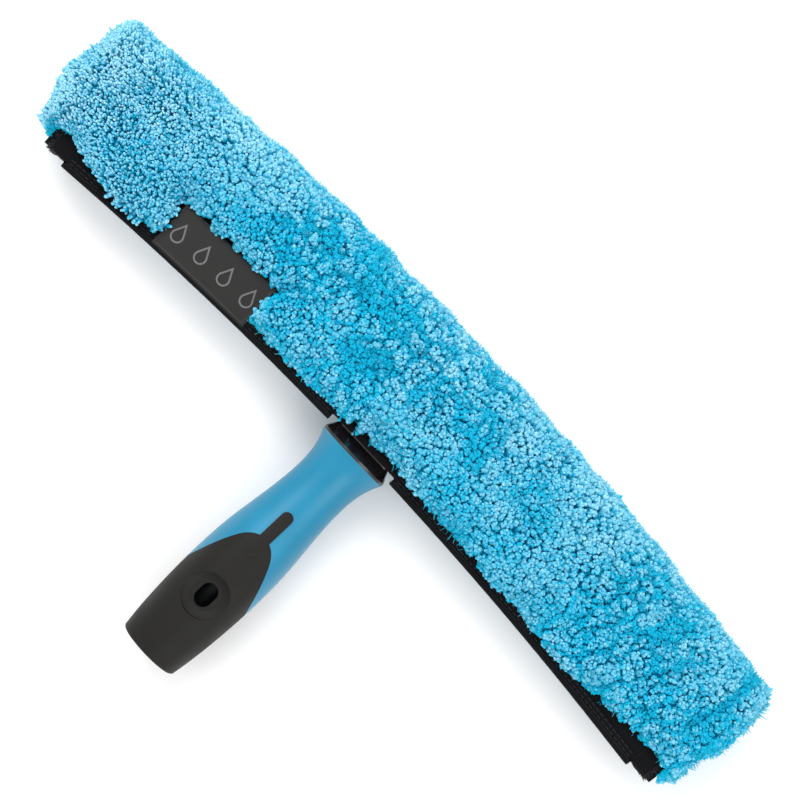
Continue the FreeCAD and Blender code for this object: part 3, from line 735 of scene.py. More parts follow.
class WASHER_OT_sleeve_cloth(bpy.types.Operator):
    """Knitted lining of the sleeve, with its two closed ends"""

    bl_idname = "washer.sleeve_cloth"
    bl_label = "Sleeve cloth"

    def execute(self, context):
        c = context.scene.cloth
        finish = knitted_lining(c.lining, c.knit_pitch)
        back = PANEL_FRONT
        x = stations(-SLEEVE_END, SLEEVE_END, 3 * MM)
        outer_length, inner_length = wrap_length(LINING_OUT, back), wrap_length(SLEEVE_GAP, back)
        share = np.linspace(0, 1, 90)

        def grid(grown, length, sag):
            d, z, angle = wrap(share * length, grown, back)
            points = bowed(x[:, None], d[None], z[None])
            way = bowed_direction(x[:, None], 0, np.sin(angle)[None], np.cos(angle)[None])
            return points + way * (ripple(points, 17 * MM, 31)[..., None] * sag)

        sleeve = cloth_slab(
            "sleeve_cloth",
            grid(LINING_OUT, outer_length, 0.12 * MM),
            grid(SLEEVE_GAP, inner_length, 0),
            x[:, None], (share * outer_length)[None], "washer", finish,
        )
        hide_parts("sleeve_lining")
        for name, side in SIDES.items():
            share_in = np.linspace(0, 1, 8)
            d, z, _ = wrap(share * outer_length, LINING_OUT - 0.4 * MM, back)
            core_d = np.clip(d, back, NOSE_CENTRE)
            flat_d = core_d[None] + (d - core_d)[None] * share_in[:, None]
            flat_z = z[None] * share_in[:, None]
            domed = (1 - share_in**2)[:, None] * 0.25 * MM
            outer = bowed(side * (SLEEVE_END - 0.05 * MM + domed), flat_d, flat_z)
            inner = bowed(side * (SLEEVE_END - 1.1 * MM + domed), flat_d, flat_z)
            end = cloth_slab(
                name + "_end_cloth", outer, inner, flat_d, flat_z, "washer", finish
            )
            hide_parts(name + "_end_lining")
        return {"FINISHED"}


def rounded(count, places):
    """How thick a layer is across it, from 0 at its two edges to 1 within, at places from 0 to 1."""
    return np.sqrt(np.clip(1 - np.abs(2 * places - 1) ** count, 0, 1))


def laid_cloth(name, x, d, z, lean, thickness, body, finish, slot, crumple=0.0, seed=1):
    """A strip of cloth along the bar, with rounded edges.

    x is its stations along the bar. Across it, d and z are its middle layer and lean is the way out of it.
    """
    x = x[:, None]
    d, z, lean = [np.broadcast_to(v, (len(x), np.shape(v)[-1])) for v in (d, z, lean)]
    middle = bowed(x, d, z)
    out = bowed_direction(x, 0, np.sin(lean), np.cos(lean))
    middle = middle + out * (ripple(middle, 9 * MM, seed) * crumple)[..., None]
    across = np.concatenate([[0], np.cumsum(np.hypot(np.diff(d[0]), np.diff(z[0])))])
    ends = rounded(24, np.linspace(0, 1, len(x)))[:, None]
    half = (thickness / 2 * rounded(8, across / across[-1])[None] * ends)[..., None]
    return cloth_slab(name, middle + out * half, middle - out * half, x, across[None], body, finish)


def upright_cloth(name, x, d, z, way, *rest):
    """A flat piece of cloth that stands at depth d and faces ahead, way 1, or back, way -1."""
    return laid_cloth(name, x, np.full(len(z), d), z, np.full(len(z), way * math.pi / 2), *rest)


def across_places(count):
    """Places from 0 to 1 that are closer together at both ends."""
    return (1 - np.cos(np.linspace(0, math.pi, count))) / 2


def closure_x(side, inner=OPENING, outer=CLOSURE_END):
    """Stations along one side's closure."""
    x = side * stations(inner, outer, 1.5 * MM)
    return x if side > 0 else x[::-1]


_finishes = {}


def pile_finish(p):
    """The pile's fibre, made once."""
    if "pile" not in _finishes:
        _finishes["pile"] = pile_fibre(tuple(p.root), tuple(p.middle), tuple(p.tip_highlight))
    return _finishes["pile"]


def finishes(c):
    """The cloths and threads, made once."""
    if "tape" not in _finishes:
        _finishes["tape"] = binding_tape(tuple(c.tape), c.rib_pitch)
        _finishes["thread"] = sewing_thread(tuple(c.thread))
        _finishes["grab"] = grab_plastic(tuple(c.grab))
    return _finishes["tape"], _finishes["thread"], _finishes["grab"]


def stitching(name, rows, body, thread):
    """Rows of stitches as one piece."""
    points, faces = joined(rows)
    new_piece(name, points, faces, body, thread)


def sewn_row(x, d, z, lean, c):
    """Stitches in a row along the bar."""
    path = bowed(x, d, z)
    out = bowed_direction(x, 0, math.sin(lean), math.cos(lean))
    return thread_line(path, out, c.stitch_length, c.stitch_gap, c.thread_radius)


class WASHER_OT_hems(bpy.types.Operator):
    """Tapes bound over the sleeve's two back edges, and the stitches through them"""

    bl_idname = "washer.hems"
    bl_label = "Hem tapes"

    def execute(self, context):
        c = context.scene.cloth
        tape, thread, _ = finishes(c)
        x = stations(-CLOSURE_END, CLOSURE_END, 1.2 * MM)
        beside_neck = ease(OPENING - 0.5 * MM, OPENING + 1.5 * MM, np.abs(x))[:, None]
        rows = []
        for name, side, back in (("upper", 1, HEM_BACK), ("lower", -1, PANEL_BACK)):
            start = back - back * (1 - beside_neck)
            d = start + (HEM_REACH - start) * across_places(14)[None]
            z = skin(d, (LINING_OUT + TAPE_OUT) / 2, side)[1]
            lean = SLOPE if side > 0 else math.pi - SLOPE
            hem = laid_cloth(
                name + "_hem", x, d, z, np.full(14, lean), TAPE_OUT - LINING_OUT,
                "washer", tape, "tape", 0.06 * MM, 40,
            )
            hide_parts(name + "_hem_tape")
            for low, high in ((-CLOSURE_END, LABEL_START), (LABEL_END, -OPENING), (OPENING, CLOSURE_END)):
                run = stations(low + 2 * MM, high - 2 * MM, 2 * MM)
                for depth in (1.9 * MM, -0.2 * MM):
                    d_at, z_at = skin(depth, TAPE_OUT, side)
                    rows.append(sewn_row(run, d_at, z_at, lean, c))
        stitching("hem_stitching", rows, "washer", thread)
        return {"FINISHED"}


class WASHER_OT_corner_tabs(bpy.types.Operator):
    """Tape bound round the sleeve's back corners, with its frayed ends"""

    bl_idname = "washer.corner_tabs"
    bl_label = "Corner tabs"

    def execute(self, context):
        c = context.scene.cloth
        tape, thread, _ = finishes(c)
        grown = (LINING_OUT + TAPE_OUT) / 2
        back = (PANEL_FRONT + PANEL_BACK) / 2
        bend = 1.2 * MM
        for name, side in SIDES.items():
            x = closure_x(side, CLOSURE_END, TAB_END)
            x = np.linspace(x[0], x[-1], 26)
            top_d = np.linspace(TAB_REACH, back + bend, 12)
            turn = np.linspace(0, math.pi / 2, 6)[1:]
            corner_z = skin(back + bend, grown)[1] - bend
            down = np.linspace(corner_z, -corner_z, 22)[1:-1]
            half_d = np.concatenate([top_d, back + bend - bend * np.sin(turn)])
            half_z = np.concatenate([skin(top_d, grown)[1], corner_z + bend * np.cos(turn)])
            half_lean = np.concatenate([np.full(12, SLOPE), -turn])
            d = np.concatenate([half_d, np.full(20, back), half_d[::-1]])
            z = np.concatenate([half_z, down, -half_z[::-1]])
            lean = np.concatenate([half_lean, np.full(20, -math.pi / 2), -math.pi - half_lean[::-1]])
            tab = laid_cloth(
                name + "_corner_cloth", x, d, z, lean, TAPE_OUT - LINING_OUT,
                "washer", tape, "tape", 0.45 * MM, 60 + side,
            )
            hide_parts(name + "_corner_tab")
            length = float(np.hypot(np.diff(d), np.diff(z)).sum())
            rng = np.random.default_rng(80 + side)
            count = 420
            pick = rng.integers(0, len(d), count)
            at_end = rng.random(count) < 0.55
            start_x = np.where(at_end, side * TAB_END, side * rng.uniform(CLOSURE_END, TAB_END, count))
            edge = np.where(rng.random(count) < 0.5, 0, len(d) - 1)
            pick = np.where(at_end, pick, edge)
            root = bowed(start_x, d[pick], z[pick])
            out = bowed_direction(start_x, 0, np.sin(lean[pick]), np.cos(lean[pick]))
            sideways, forwards = bowed_direction(start_x, side, 0, 0), bowed_direction(start_x, 0, 1, 0)
            way = np.where(at_end[:, None], sideways, forwards)
            way = unit(way + out * rng.normal(0.15, 0.35, (count, 1)) + rng.normal(0, 0.35, (count, 3)))
            reach = rng.uniform(0.6, 3.2, count) * MM
            ring = np.array([0.0, 0.35, 0.7, 1.0])
            sag = unit(rng.normal(size=(count, 3)))
            lines = root[:, None] + way[:, None] * (reach[:, None] * ring)[..., None]
            lines = lines + sag[:, None] * (reach[:, None] * 0.3 * np.sin(math.pi * ring))[..., None]
            radii = rng.uniform(0.09, 0.2, (count, 1)) * MM * np.array([1, 1, 0.8, 0])
            points, faces, _ = tubes(lines, radii, 4, sag)
            new_piece(name + "_corner_fray", points, faces, "washer", thread)
        return {"FINISHED"}


class WASHER_OT_inner_panels(bpy.types.Operator):
    """Panels that come up from the lower edge, and the hook strips on them"""

    bl_idname = "washer.inner_panels"
    bl_label = "Inner panels"

    def execute(self, context):
        c = context.scene.cloth
        tape, thread, grab = finishes(c)
        top = BAR_HALF - 3.5 * MM
        low, high = HINGE_LOW + 2 * MM, top - 2 * MM
        for name, side in SIDES.items():
            x = closure_x(side)
            bottom = skin(PANEL_BACK, (LINING_OUT + SLEEVE_GAP) / 2, -1)[1]
            z = bottom + (top - bottom) * across_places(26)
            panel = upright_cloth(
                name + "_inner_cloth", x, (PANEL_FRONT + PANEL_BACK) / 2, z, -1, 0.86 * MM,
                "washer", tape, "tape", 0.03 * MM, 45,
            )
            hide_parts(name + "_inner_panel")
            span = closure_x(side, OPENING + 2 * MM, CLOSURE_END - 2 * MM)
            upright_cloth(
                name + "_hook_band", span, PANEL_BACK - 0.08 * MM, low + (high - low) * across_places(16), -1,
                0.2 * MM, "washer", tape, "hook_and_loop",
            )
            columns = stations(abs(span).min() + 1 * MM, abs(span).max() - 1 * MM, 1.35 * MM)
            rows = stations(low + 0.8 * MM, high - 0.8 * MM, 1.2 * MM)
            gx, gz = np.meshgrid(columns, rows, indexing="ij")
            gx, gz = side * gx.ravel(), gz.ravel()
            rng = np.random.default_rng(50 + side)
            gx = gx + rng.normal(0, 0.06, len(gx)) * MM
            lean = np.where(np.arange(len(gx)) % 2, 1.0, -1.0)[:, None]
            t = np.linspace(0, 1, 7)[None]
            # each hook rises, then leans over and comes part of the way down again
            crown = 0.62
            rise = np.sin(np.minimum(t, crown) / crown * math.pi / 2) * 0.5 * MM
            rise = rise - np.maximum(t - crown, 0) * 0.45 * MM
            lean_x = lean * np.maximum(t - 0.25, 0) * 0.75 * MM
            centres = bowed(gx[:, None] + lean_x, PANEL_BACK - 0.14 * MM - rise, gz[:, None] + 0 * t)
            radii = np.broadcast_to(np.array([1.3, 1, 1, 1, 1, 0.8, 0]) * 0.09 * MM, centres.shape[:2])
            points, faces, _ = tubes(centres, radii, 4, np.broadcast_to([0.02, 0.03, 1.0], (len(gx), 3)))
            hooks = new_piece(name + "_hooks", points, faces, "washer", grab)
            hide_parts(name + "_hook_strip")
            heights = (low + 0.45 * MM, high - 0.45 * MM)
            rows = [sewn_row(span, PANEL_BACK - 0.2 * MM, at, -math.pi / 2, c) for at in heights]
            stitching(name + "_hook_stitching", rows, "washer", thread)
        return {"FINISHED"}


HINGE_HIGH = skin(-2.5 * MM, TAPE_OUT)[1]
HINGE_LOW = 2.4 * MM - HINGE_HIGH


class WASHER_OT_flaps(bpy.types.Operator):
    """The two closure flaps, with their loop strips, stitches and the folds that they hang from"""

    bl_idname = "washer.flaps"
    bl_label = "Flaps"

    def execute(self, context):
        c = context.scene.cloth
        tape, thread, grab = finishes(c)
        low, high = HINGE_LOW + 2 * MM, HINGE_HIGH - 4 * MM
        for name, side in SIDES.items():
            body = name + "_closure"
            x = closure_x(side)
            z = HINGE_HIGH + (HINGE_LOW - HINGE_HIGH) * across_places(30)
            flap = upright_cloth(
                name + "_flap_cloth", x, (FLAP_FRONT + FLAP_BACK) / 2, z, -1, 0.82 * MM,
                body, tape, "tape", 0.05 * MM, 55,
            )
            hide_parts(name + "_flap")
            seam, top_row, bottom_row = FLAP_BACK - 0.02 * MM, high - 0.6 * MM, HINGE_LOW + 2.6 * MM
            heights = (HINGE_HIGH - 2.2 * MM, top_row, bottom_row, HINGE_LOW + 1.0 * MM)
            rows = [sewn_row(x[2:-2], seam, at, -math.pi / 2, c) for at in heights]
            for at in (x[2], x[-3]):
                path = bowed(at, seam, stations(bottom_row, top_row, 1 * MM))
                out = np.broadcast_to(bowed_direction(at, 0, -1, 0), path.shape)
                rows.append(thread_line(path, out, c.stitch_length, c.stitch_gap, c.thread_radius))
            stitching(name + "_flap_stitching", rows, body, thread)
            span = closure_x(side, OPENING + 2 * MM, CLOSURE_END - 2 * MM)
            upright_cloth(
                name + "_loop_band", span, FLAP_FRONT + 0.08 * MM, high + (low - high) * across_places(16), 1,
                0.2 * MM, body, tape, "hook_and_loop",
            )
            rng = np.random.default_rng(70 + side)
            count = 5200
            near, far = np.abs(span).min() + 0.8 * MM, np.abs(span).max() - 0.8 * MM
            gx = side * rng.uniform(near, far, count)
            gz = rng.uniform(low + 0.7 * MM, high - 0.7 * MM, count)
            t = np.linspace(0, 1, 6)[None]
            turn = rng.uniform(0, 2 * math.pi, (count, 1))
            width = rng.uniform(0.4, 0.9, (count, 1)) * MM
            centres = bowed(
                gx[:, None] + width * (t - 0.5) * np.cos(turn),
                FLAP_FRONT + 0.1 * MM + np.sin(math.pi * t * 0.92) * rng.uniform(0.25, 0.5, (count, 1)) * MM,
                gz[:, None] + width * (t - 0.5) * np.sin(turn),
            )
            radii = np.broadcast_to(np.array([1, 1, 1, 1, 1, 0]) * 0.07 * MM, centres.shape[:2])
            points, faces, _ = tubes(centres, radii, 3, np.broadcast_to([0.1, 1.0, 0.2], (count, 3)))
            loops = new_piece(name + "_loops", points, faces, body, grab)
            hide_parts(name + "_loop_strip")

            # the fold lies on the hem, turns down at the hinge and runs down behind the flap; it is parted
            # from every body
            turn = np.linspace(0, math.pi / 2, 8)
            radius = 1.2 * MM
            lift = HINGE_HIGH + 0.35 * MM
            d = np.concatenate([[-0.9 * MM], -2.75 * MM - radius * np.sin(turn), [-3.95 * MM] * 3])
            down = np.array([0.6, 1.2, 1.9]) * MM
            bend = radius * np.cos(turn)
            fold_z = np.concatenate([[lift - 0.05 * MM], lift - radius + bend, lift - radius - down])
            lean = np.concatenate([[SLOPE], -turn, [-math.pi / 2] * 3])
            fold = laid_cloth(
                name + "_hinge_fold", x, d, fold_z, lean, 0.36 * MM, None, tape, "tape", 0.02 * MM, 58
            )
            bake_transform(fold)
        return {"FINISHED"}


class WASHER_OT_label(bpy.types.Operator):
    """Moulded label over the hem, and its printed motif"""

    bl_idname = "washer.label"
    bl_label = "Label"

    def execute(self, context):
        h = context.scene.handle
        x = LABEL_START + (LABEL_END - LABEL_START) * across_places(70)
        place = across_places(60)[None]
        d = HEM_BACK + (LABEL_REACH - HEM_BACK) * place
        inset_x = np.minimum(x - LABEL_START, LABEL_END - x)[:, None]
        inset = np.minimum(np.minimum(d - HEM_BACK, LABEL_REACH - d), inset_x)
        radius = 0.75 * MM
        drop = radius - np.sqrt(np.clip(radius**2 - np.clip(radius - inset, 0, radius) ** 2, 0, None))
        # the raised rim that runs round the label just inside its edge
        rim = 0.14 * MM * np.exp(-(((inset - 1.3 * MM) / (0.3 * MM)) ** 2))
        under = LINING_OUT + (TAPE_OUT - LINING_OUT) * (1 - ease(HEM_REACH, HEM_REACH + 0.3 * MM, d))
        outer = bowed(x[:, None], d, skin(d, LABEL_OUT - drop + rim)[1])
        inner = bowed(x[:, None], d, skin(d, under + 0 * inset_x)[1])
        rubber = label_rubber(tuple(h.label))
        label = cloth_slab("label", outer, inner, x[:, None], d, "washer", rubber)
        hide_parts("label_patch")
        repaint("label_print", label_ink(tuple(h.ink)))
        return {"FINISHED"}


class WASHER_OT_pile_ground(bpy.types.Operator):
    """Dense lower layer of the pile, which shows only in the gaps between the locks"""

    bl_idname = "washer.pile_ground"
    bl_label = "Pile ground"

    def execute(self, context):
        p = context.scene.pile
        finish = pile_finish(p)
        parts, heights = [], []
        for field in ground_fields():
            points = lifted(field, GROUND_SHARE, p)
            quads = grid_faces(np.arange(points[..., 0].size).reshape(points.shape[:2]))
            quads = quads[(field.edge.ravel()[quads] > 1.5 * MM).all(1)]
            parts.append((points.reshape(-1, 3), [quads]))
            # painted light: a height mark of 0.5 gives the ground the lifted colours near the root, brighter
            # than the shade it lies in
            heights.append(np.full(points[..., 0].size, 0.5))
        points, faces = joined(parts)
        points[:, 2] = np.maximum(points[:, 2], 1.0 * MM)
        height = np.concatenate(heights)
        ground = new_piece(
            "pile_ground", points, faces, "washer", finish,
            marks={"height": height, "lock": np.full(len(height), 0.4)},
        )
        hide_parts("sleeve_pile", "left_end_pile", "right_end_pile")
        return {"FINISHED"}


class Roots:
    """Where locks of pile are rooted on the sleeve, and which way they grow.

    Places are x along the bar, d ahead of its back face and z up. Ways are along, ahead and up.
    """

    def __init__(self, x, d, z, way, reach, edge):
        self.x, self.d, self.z, self.way, self.reach, self.edge = x, d, z, way, reach, edge

    def root(self):
        return bowed(self.x, self.d, self.z)

    def out(self):
        return bowed_direction(self.x, self.way[..., 0], self.way[..., 1], self.way[..., 2])


def joined_roots(several):
    """Several sets of roots as one."""
    keys = ("x", "d", "z", "way", "reach", "edge")
    return Roots(*[np.concatenate([getattr(roots, key) for roots in several]) for key in keys])


LINING_LENGTH = wrap_length(LINING_OUT, HEM_REACH)
WINDOW = (LABEL_START - 2 * MM, LABEL_END + 2 * MM, LABEL_REACH + 2 * MM)
EDGE_WIDTH = 9 * MM  # over which the pile rises from an edge
GROUND_SHARE = 0.62  # of the pile's height, for its lower layer
TRIANGLES_PER_PIECE = 190_000


def edge_distance(x, s):
    """How far a root is from the nearest edge of the pile: a hem, the neck notch or the label's window."""
    upper = s - edge_retreat(x)
    lower = LINING_LENGTH - s - edge_retreat(x)
    beside = np.maximum(WINDOW[0] - x, x - WINDOW[1])
    ahead = HEM_REACH + s - WINDOW[2]
    round_it = np.hypot(np.maximum(beside, 0), np.maximum(ahead, 0))
    window = np.where((beside < 0) & (ahead < 0), np.maximum(beside, ahead), round_it)
    return np.minimum(np.minimum(upper, lower), window)


def edge_rise(edge, least=0):
    """The share of its full height that the pile has at a distance from its edge."""
    return np.sqrt(np.clip(1 - (1 - np.clip(edge / EDGE_WIDTH, least, 1)) ** 2, least, 1))


def wrap_roots(x, s):
    """Roots on the broad faces and round the nose."""
    d, z, angle = wrap(s, LINING_OUT, HEM_REACH)
    x, d, z, angle = np.broadcast_arrays(x, d, z, angle)
    edge = edge_distance(x, s)
    way = np.stack([np.zeros_like(x), np.sin(angle), np.cos(angle)], -1)
    return Roots(x.copy(), d, z, way, PILE * edge_rise(edge), edge)


def end_reach(side, d):
    """How far the pile stands out of the sleeve's end at depth d."""
    t = np.clip(d / BAR_DEPTH, 0, 1.2)
    if side < 0:
        return END_PILE * (0.5 + 0.5 * np.exp(-(((t - 0.66) / 0.42) ** 2)))
    return END_PILE * (0.5 + 0.2 * np.exp(-(((t - 0.75) / 0.4) ** 2)))


def fan_roots(side, s, angle):
    """Roots on the rim of one end. At angle 0 they are square to the faces and then fan out to the end."""
    d, z, lean = wrap(s, LINING_OUT, HEM_REACH)
    d, z, lean, angle = np.broadcast_arrays(d, z, lean, angle)
    c, o = np.cos(angle), np.sin(angle)
    way = np.stack([side * o * end_reach(side, d) / PILE, np.sin(lean) * c, np.cos(lean) * c], -1)
    edge = edge_distance(side * (SLEEVE_END - 1 * MM) + 0 * s, s)
    edge = np.broadcast_arrays(edge, angle)[0] + 6 * MM * o
    reach = PILE * np.linalg.norm(way, axis=-1) * edge_rise(edge)
    return Roots(np.full(d.shape, side * SLEEVE_END), d.copy(), z.copy(), unit(way), reach, edge)


def cap_roots(side, d, share):
    """Roots on the flat of one end. share is -1 to 1 across its thickness."""
    half = skin(0, LINING_OUT)[1] - d * math.tan(SLOPE)
    beyond = np.clip((d - NOSE_CENTRE) / (NOSE_RADIUS + LINING_OUT), 0, 0.999)
    half = np.where(d > NOSE_CENTRE, (NOSE_RADIUS + LINING_OUT) * np.sqrt(1 - beyond**2), half)
    z = share * half
    way = np.stack([np.full(d.shape, side * 1.0), np.zeros(d.shape), np.zeros(d.shape)], -1)
    edge = d - 6 * MM
    return Roots(np.full(d.shape, side * SLEEVE_END), d, z, way, end_reach(side, d) * np.ones(d.shape), edge)


def ground_fields():
    """Grids of roots that cover the sleeve, for the pile's lower layer."""
    x = stations(-SLEEVE_END, SLEEVE_END, 2.2 * MM)
    s = stations(0, LINING_LENGTH, 2.0 * MM)
    gx, gs = np.meshgrid(x, s, indexing="ij")
    fields = [wrap_roots(gx, gs)]
    for side in (-1, 1):
        angle = np.linspace(0, math.pi / 2, 8)
        ga, gs = np.meshgrid(angle, s, indexing="ij")
        fields.append(fan_roots(side, gs, ga))
        depths = stations(8 * MM, BAR_DEPTH + LINING_OUT, 2.5 * MM)
        d, share = np.meshgrid(depths, np.linspace(-1, 1, 12), indexing="ij")
        fields.append(cap_roots(side, d, share))
    return fields


def swell(places, p):
    """The slow unevenness of the whole pile."""
    return ripple(places, 26 * MM, p.seed + 11) * p.unevenness


def lifted(field, share, p):
    """Points part of the way up the pile."""
    root, out = field.root(), field.out()
    rough = ripple(root, 6 * MM, p.seed + 3) * 0.06
    height = field.reach * np.clip(share + rough, 0, 1)
    height = height + swell(root, p) * 0.8
    return root + out * np.maximum(height, 0)[..., None]


def scattered_roots(spacing, rng):
    """Roots for the locks, spread so that their tips are evenly spaced."""
    x = stations(-SLEEVE_END, SLEEVE_END, spacing)
    s = stations(0, LINING_LENGTH, spacing)
    gx, gs = [g.ravel() for g in np.meshgrid(x, s, indexing="ij")]
    radius = NOSE_RADIUS + LINING_OUT
    flat = (LINING_LENGTH - radius * (math.pi - 2 * SLOPE)) / 2
    on_nose = (gs > flat - spacing) & (gs < LINING_LENGTH - flat + spacing)
    edge = edge_distance(gx, gs)
    steep = 1 / edge_rise(edge, 0.02)
    weight = np.where(on_nose, (radius + PILE) / radius, 1) * np.clip(steep, 1, 4)
    copies = np.floor(weight + rng.random(len(gx))).astype(int)
    gx, gs = np.repeat(gx, copies), np.repeat(gs, copies)
    gx = gx + rng.uniform(-0.5, 0.5, len(gx)) * spacing
    gs = gs + rng.uniform(-0.5, 0.5, len(gs)) * spacing
    inside = (gs > 0) & (gs < LINING_LENGTH) & (np.abs(gx) < SLEEVE_END)
    gx, gs = gx[inside], gs[inside]
    ragged = ripple(bowed(gx, gs, 0), 5 * MM, 91) * 1.3 * MM
    kept = edge_distance(gx, gs) + ragged > 0
    several = [wrap_roots(gx[kept], gs[kept])]
    for side in (-1, 1):
        count = int(230 * MM * 20 * MM / spacing**2)
        s_at = rng.random(count) * (LINING_LENGTH + (radius + PILE) * math.pi - radius * math.pi)
        extra = (radius + PILE) * math.pi
        # the nose takes a longer share, because its tips fan out
        s = np.where(
            s_at < flat, s_at,
            np.where(s_at < flat + extra, flat + (s_at - flat) / extra * radius * (math.pi - 2 * SLOPE),
                     s_at - extra + radius * (math.pi - 2 * SLOPE)),
        )
        fan = fan_roots(side, s, np.arcsin(rng.random(count) ** 0.9))
        ok = fan.edge > 0
        several.append(Roots(fan.x[ok], fan.d[ok], fan.z[ok], fan.way[ok], fan.reach[ok], fan.edge[ok]))
        count = int(60 * 21 * MM**2 / spacing**2)
        d = 8 * MM + rng.random(count) * (BAR_DEPTH - 8 * MM + LINING_OUT)
        several.append(cap_roots(side, d, rng.uniform(-1, 1, count)))
    return joined_roots(several)


def pile_roots(spacing, rng):
    """Scattered roots, their places, and the ways out of the pile, along the bar and ahead at each."""
    roots = scattered_roots(spacing, rng)
    out, along = roots.out(), bowed_direction(roots.x, 1.0, 0.0, 0.0)
    return roots, roots.root(), out, along, unit(np.cross(out, along))


def near_edge(roots, width):
    """1 at the pile's edge, down to 0 at this width from it."""
    return np.clip(1 - roots.edge / width, 0, 1)


def nearest(points, centres, count=1):
    """For each point, the numbers of its nearest centres and how far away they are."""
    tree = kdtree.KDTree(len(centres))
    for i, centre in enumerate(centres):
        tree.insert(centre, i)
    tree.balance()
    found = [tree.find_n(point, count) for point in points]
    numbers = [[number for _, number, _ in near] for near in found]
    return np.array(numbers), np.array([[distance for _, _, distance in near] for near in found])


class WASHER_OT_pile_locks(bpy.types.Operator):
    """Curled locks of the pile, over the whole sleeve"""

    bl_idname = "washer.pile_locks"
    bl_label = "Pile locks"

    def execute(self, context):
        p = context.scene.pile
        rng = np.random.default_rng(p.seed)
        roots, base, out, along, ahead = pile_roots(p.lock_spacing, rng)
        number = len(base)
        brushed = ease(120 * MM, 205 * MM, -roots.x)
        frontal = ease(40 * MM, 62 * MM, roots.d)
        calm = np.clip(brushed + 0.45 * frontal, 0, 1)
        rise = roots.reach * (1 + rng.normal(0, 0.035, number))
        rise = rise + swell(base, p) * (1 - 0.4 * calm)
        tips = base + out * rise[:, None]

        # deeper creases, stronger in some places than in others
        centres = tips[rng.permutation(number)[: int(number * (p.lock_spacing / p.crease_size) ** 2 * 1.3)]]
        _, far = nearest(tips, centres, 2)
        strength = np.clip(0.35 + 0.75 * ripple(base, 70 * MM, p.seed + 21), 0, 1) * (1 - 0.85 * calm)
        crease = np.clip(1 - (far[:, 1] - far[:, 0]) / (2.6 * MM), 0, 1) * strength
        from_fold = roots.x - 206 * MM - (roots.d - 40 * MM) * 0.25
        fold = np.exp(-((from_fold / (2.2 * MM)) ** 2)) * ease(22 * MM, 34 * MM, roots.d)
        crease = np.maximum(crease, fold)
        tips = tips - out * (crease * p.crease_depth)[:, None]

        # small clumps
        chosen = rng.permutation(number)[: int(number * (p.lock_spacing / p.clump_size) ** 2 * 1.25)]
        which, _ = nearest(tips, tips[chosen])
        pull = (0.36 - 0.22 * brushed)[:, None]
        tips = tips + (tips[chosen][which[:, 0]] - tips) * pull
        bulge = rng.normal(0, 0.4 * MM, len(chosen))[which[:, 0]] * (1 - 0.7 * brushed)
        tips = tips + out * bulge[:, None]

        # the lie of the pile: it wanders, hangs over its edges and is brushed out at the left end
        wander = ripple(base, 30 * MM, p.seed + 31)[:, None] * along
        wander = wander + ripple(base, 30 * MM, p.seed + 32)[:, None] * ahead
        tips = tips + wander * 2.0 * MM
        tips = tips - along * (brushed * (2.5 * MM + 2.0 * MM * rng.random(number)))[:, None]
        over = near_edge(roots, 5 * MM) * rng.random(number) ** 1.5
        away = edge_way(roots)
        draped = 1 + 1.6 * np.exp(-(((roots.x + 162 * MM) / (20 * MM)) ** 2))
        tips = tips + away * (over * draped * 2.6 * MM)[:, None]

        start = 0.5 * ease(4 * MM, 12 * MM, roots.edge)
        base = base + (tips - base) * start[:, None]
        turn = rng.uniform(0, 2 * math.pi, number)
        side_way = along * np.cos(turn)[:, None] + ahead * np.sin(turn)[:, None]
        ring = np.array([0.0, 0.42, 0.75, 0.93, 1.0])
        centres = base[:, None] + (tips - base)[:, None] * ring[None, :, None]
        bow = (1.1 * MM * (1 - 0.6 * brushed)) * rng.uniform(0.4, 1.2, number)
        curl = (1.5 * MM * (1 - 0.5 * brushed)) * rng.uniform(0.3, 1.2, number)
        bent = bow[:, None] * np.sin(math.pi * ring)[None]
        curled = curl[:, None] * np.clip(ring - 0.5, 0, 1)[None] ** 2 * 3
        centres = centres + side_way[:, None] * bent[..., None]
        centres = centres - side_way[:, None] * curled[..., None]
        rim = 1 + 0.15 * near_edge(roots, 6 * MM)
        radius = p.lock_radius * rng.uniform(0.7, 1.2, number) * (1 - 0.25 * brushed) * rim
        profile = np.array([0.75, 0.98, 1.05, 0.82, 0.0])
        radii = radius[:, None] * profile[None]
        centres[..., 2] = np.maximum(centres[..., 2], 0.9 * MM)
        # painted light: the height mark runs up each lock from the brighter root colour to the pale tip
        # highlight; locks in a crease are held lower on it, a painted shade, and brushed and frontal locks
        # get more of the highlight
        crease_shade = np.clip(1 - 0.55 * crease, 0, 1)
        height = (0.40 + 0.46 * ring[None] ** 1.3) * crease_shade[:, None] + 0.10 * calm[:, None] * ring[None]
        lock = np.clip(rng.normal(0.5, 0.22, number), 0, 1)
        hang_locks("pile_locks", centres, radii, 4, side_way, height, lock, roots.x, p)
        return {"FINISHED"}


def hang_locks(name, centres, radii, sides, up, height, lock, x, p):
    """Locks as pieces of at most TRIANGLES_PER_PIECE triangles each, cut across the bar."""
    number, rings = radii.shape
    pieces = math.ceil(number * sides * (2 * rings - 3) / TRIANGLES_PER_PIECE)
    for i, part in enumerate(np.array_split(np.argsort(x), pieces)):
        points, faces, per_tube = tubes(centres[part], radii[part], sides, up[part])
        points[:, 2] = np.maximum(points[:, 2], 0.05 * MM)
        tall = np.concatenate([np.repeat(height[part][:, :-1], sides, axis=1), height[part][:, -1:]], 1)
        new_piece(
            f"{name}_{i + 1}", points, faces, "washer", pile_finish(p),
            marks={"height": tall.ravel(), "lock": np.repeat(lock[part], per_tube)},
        )


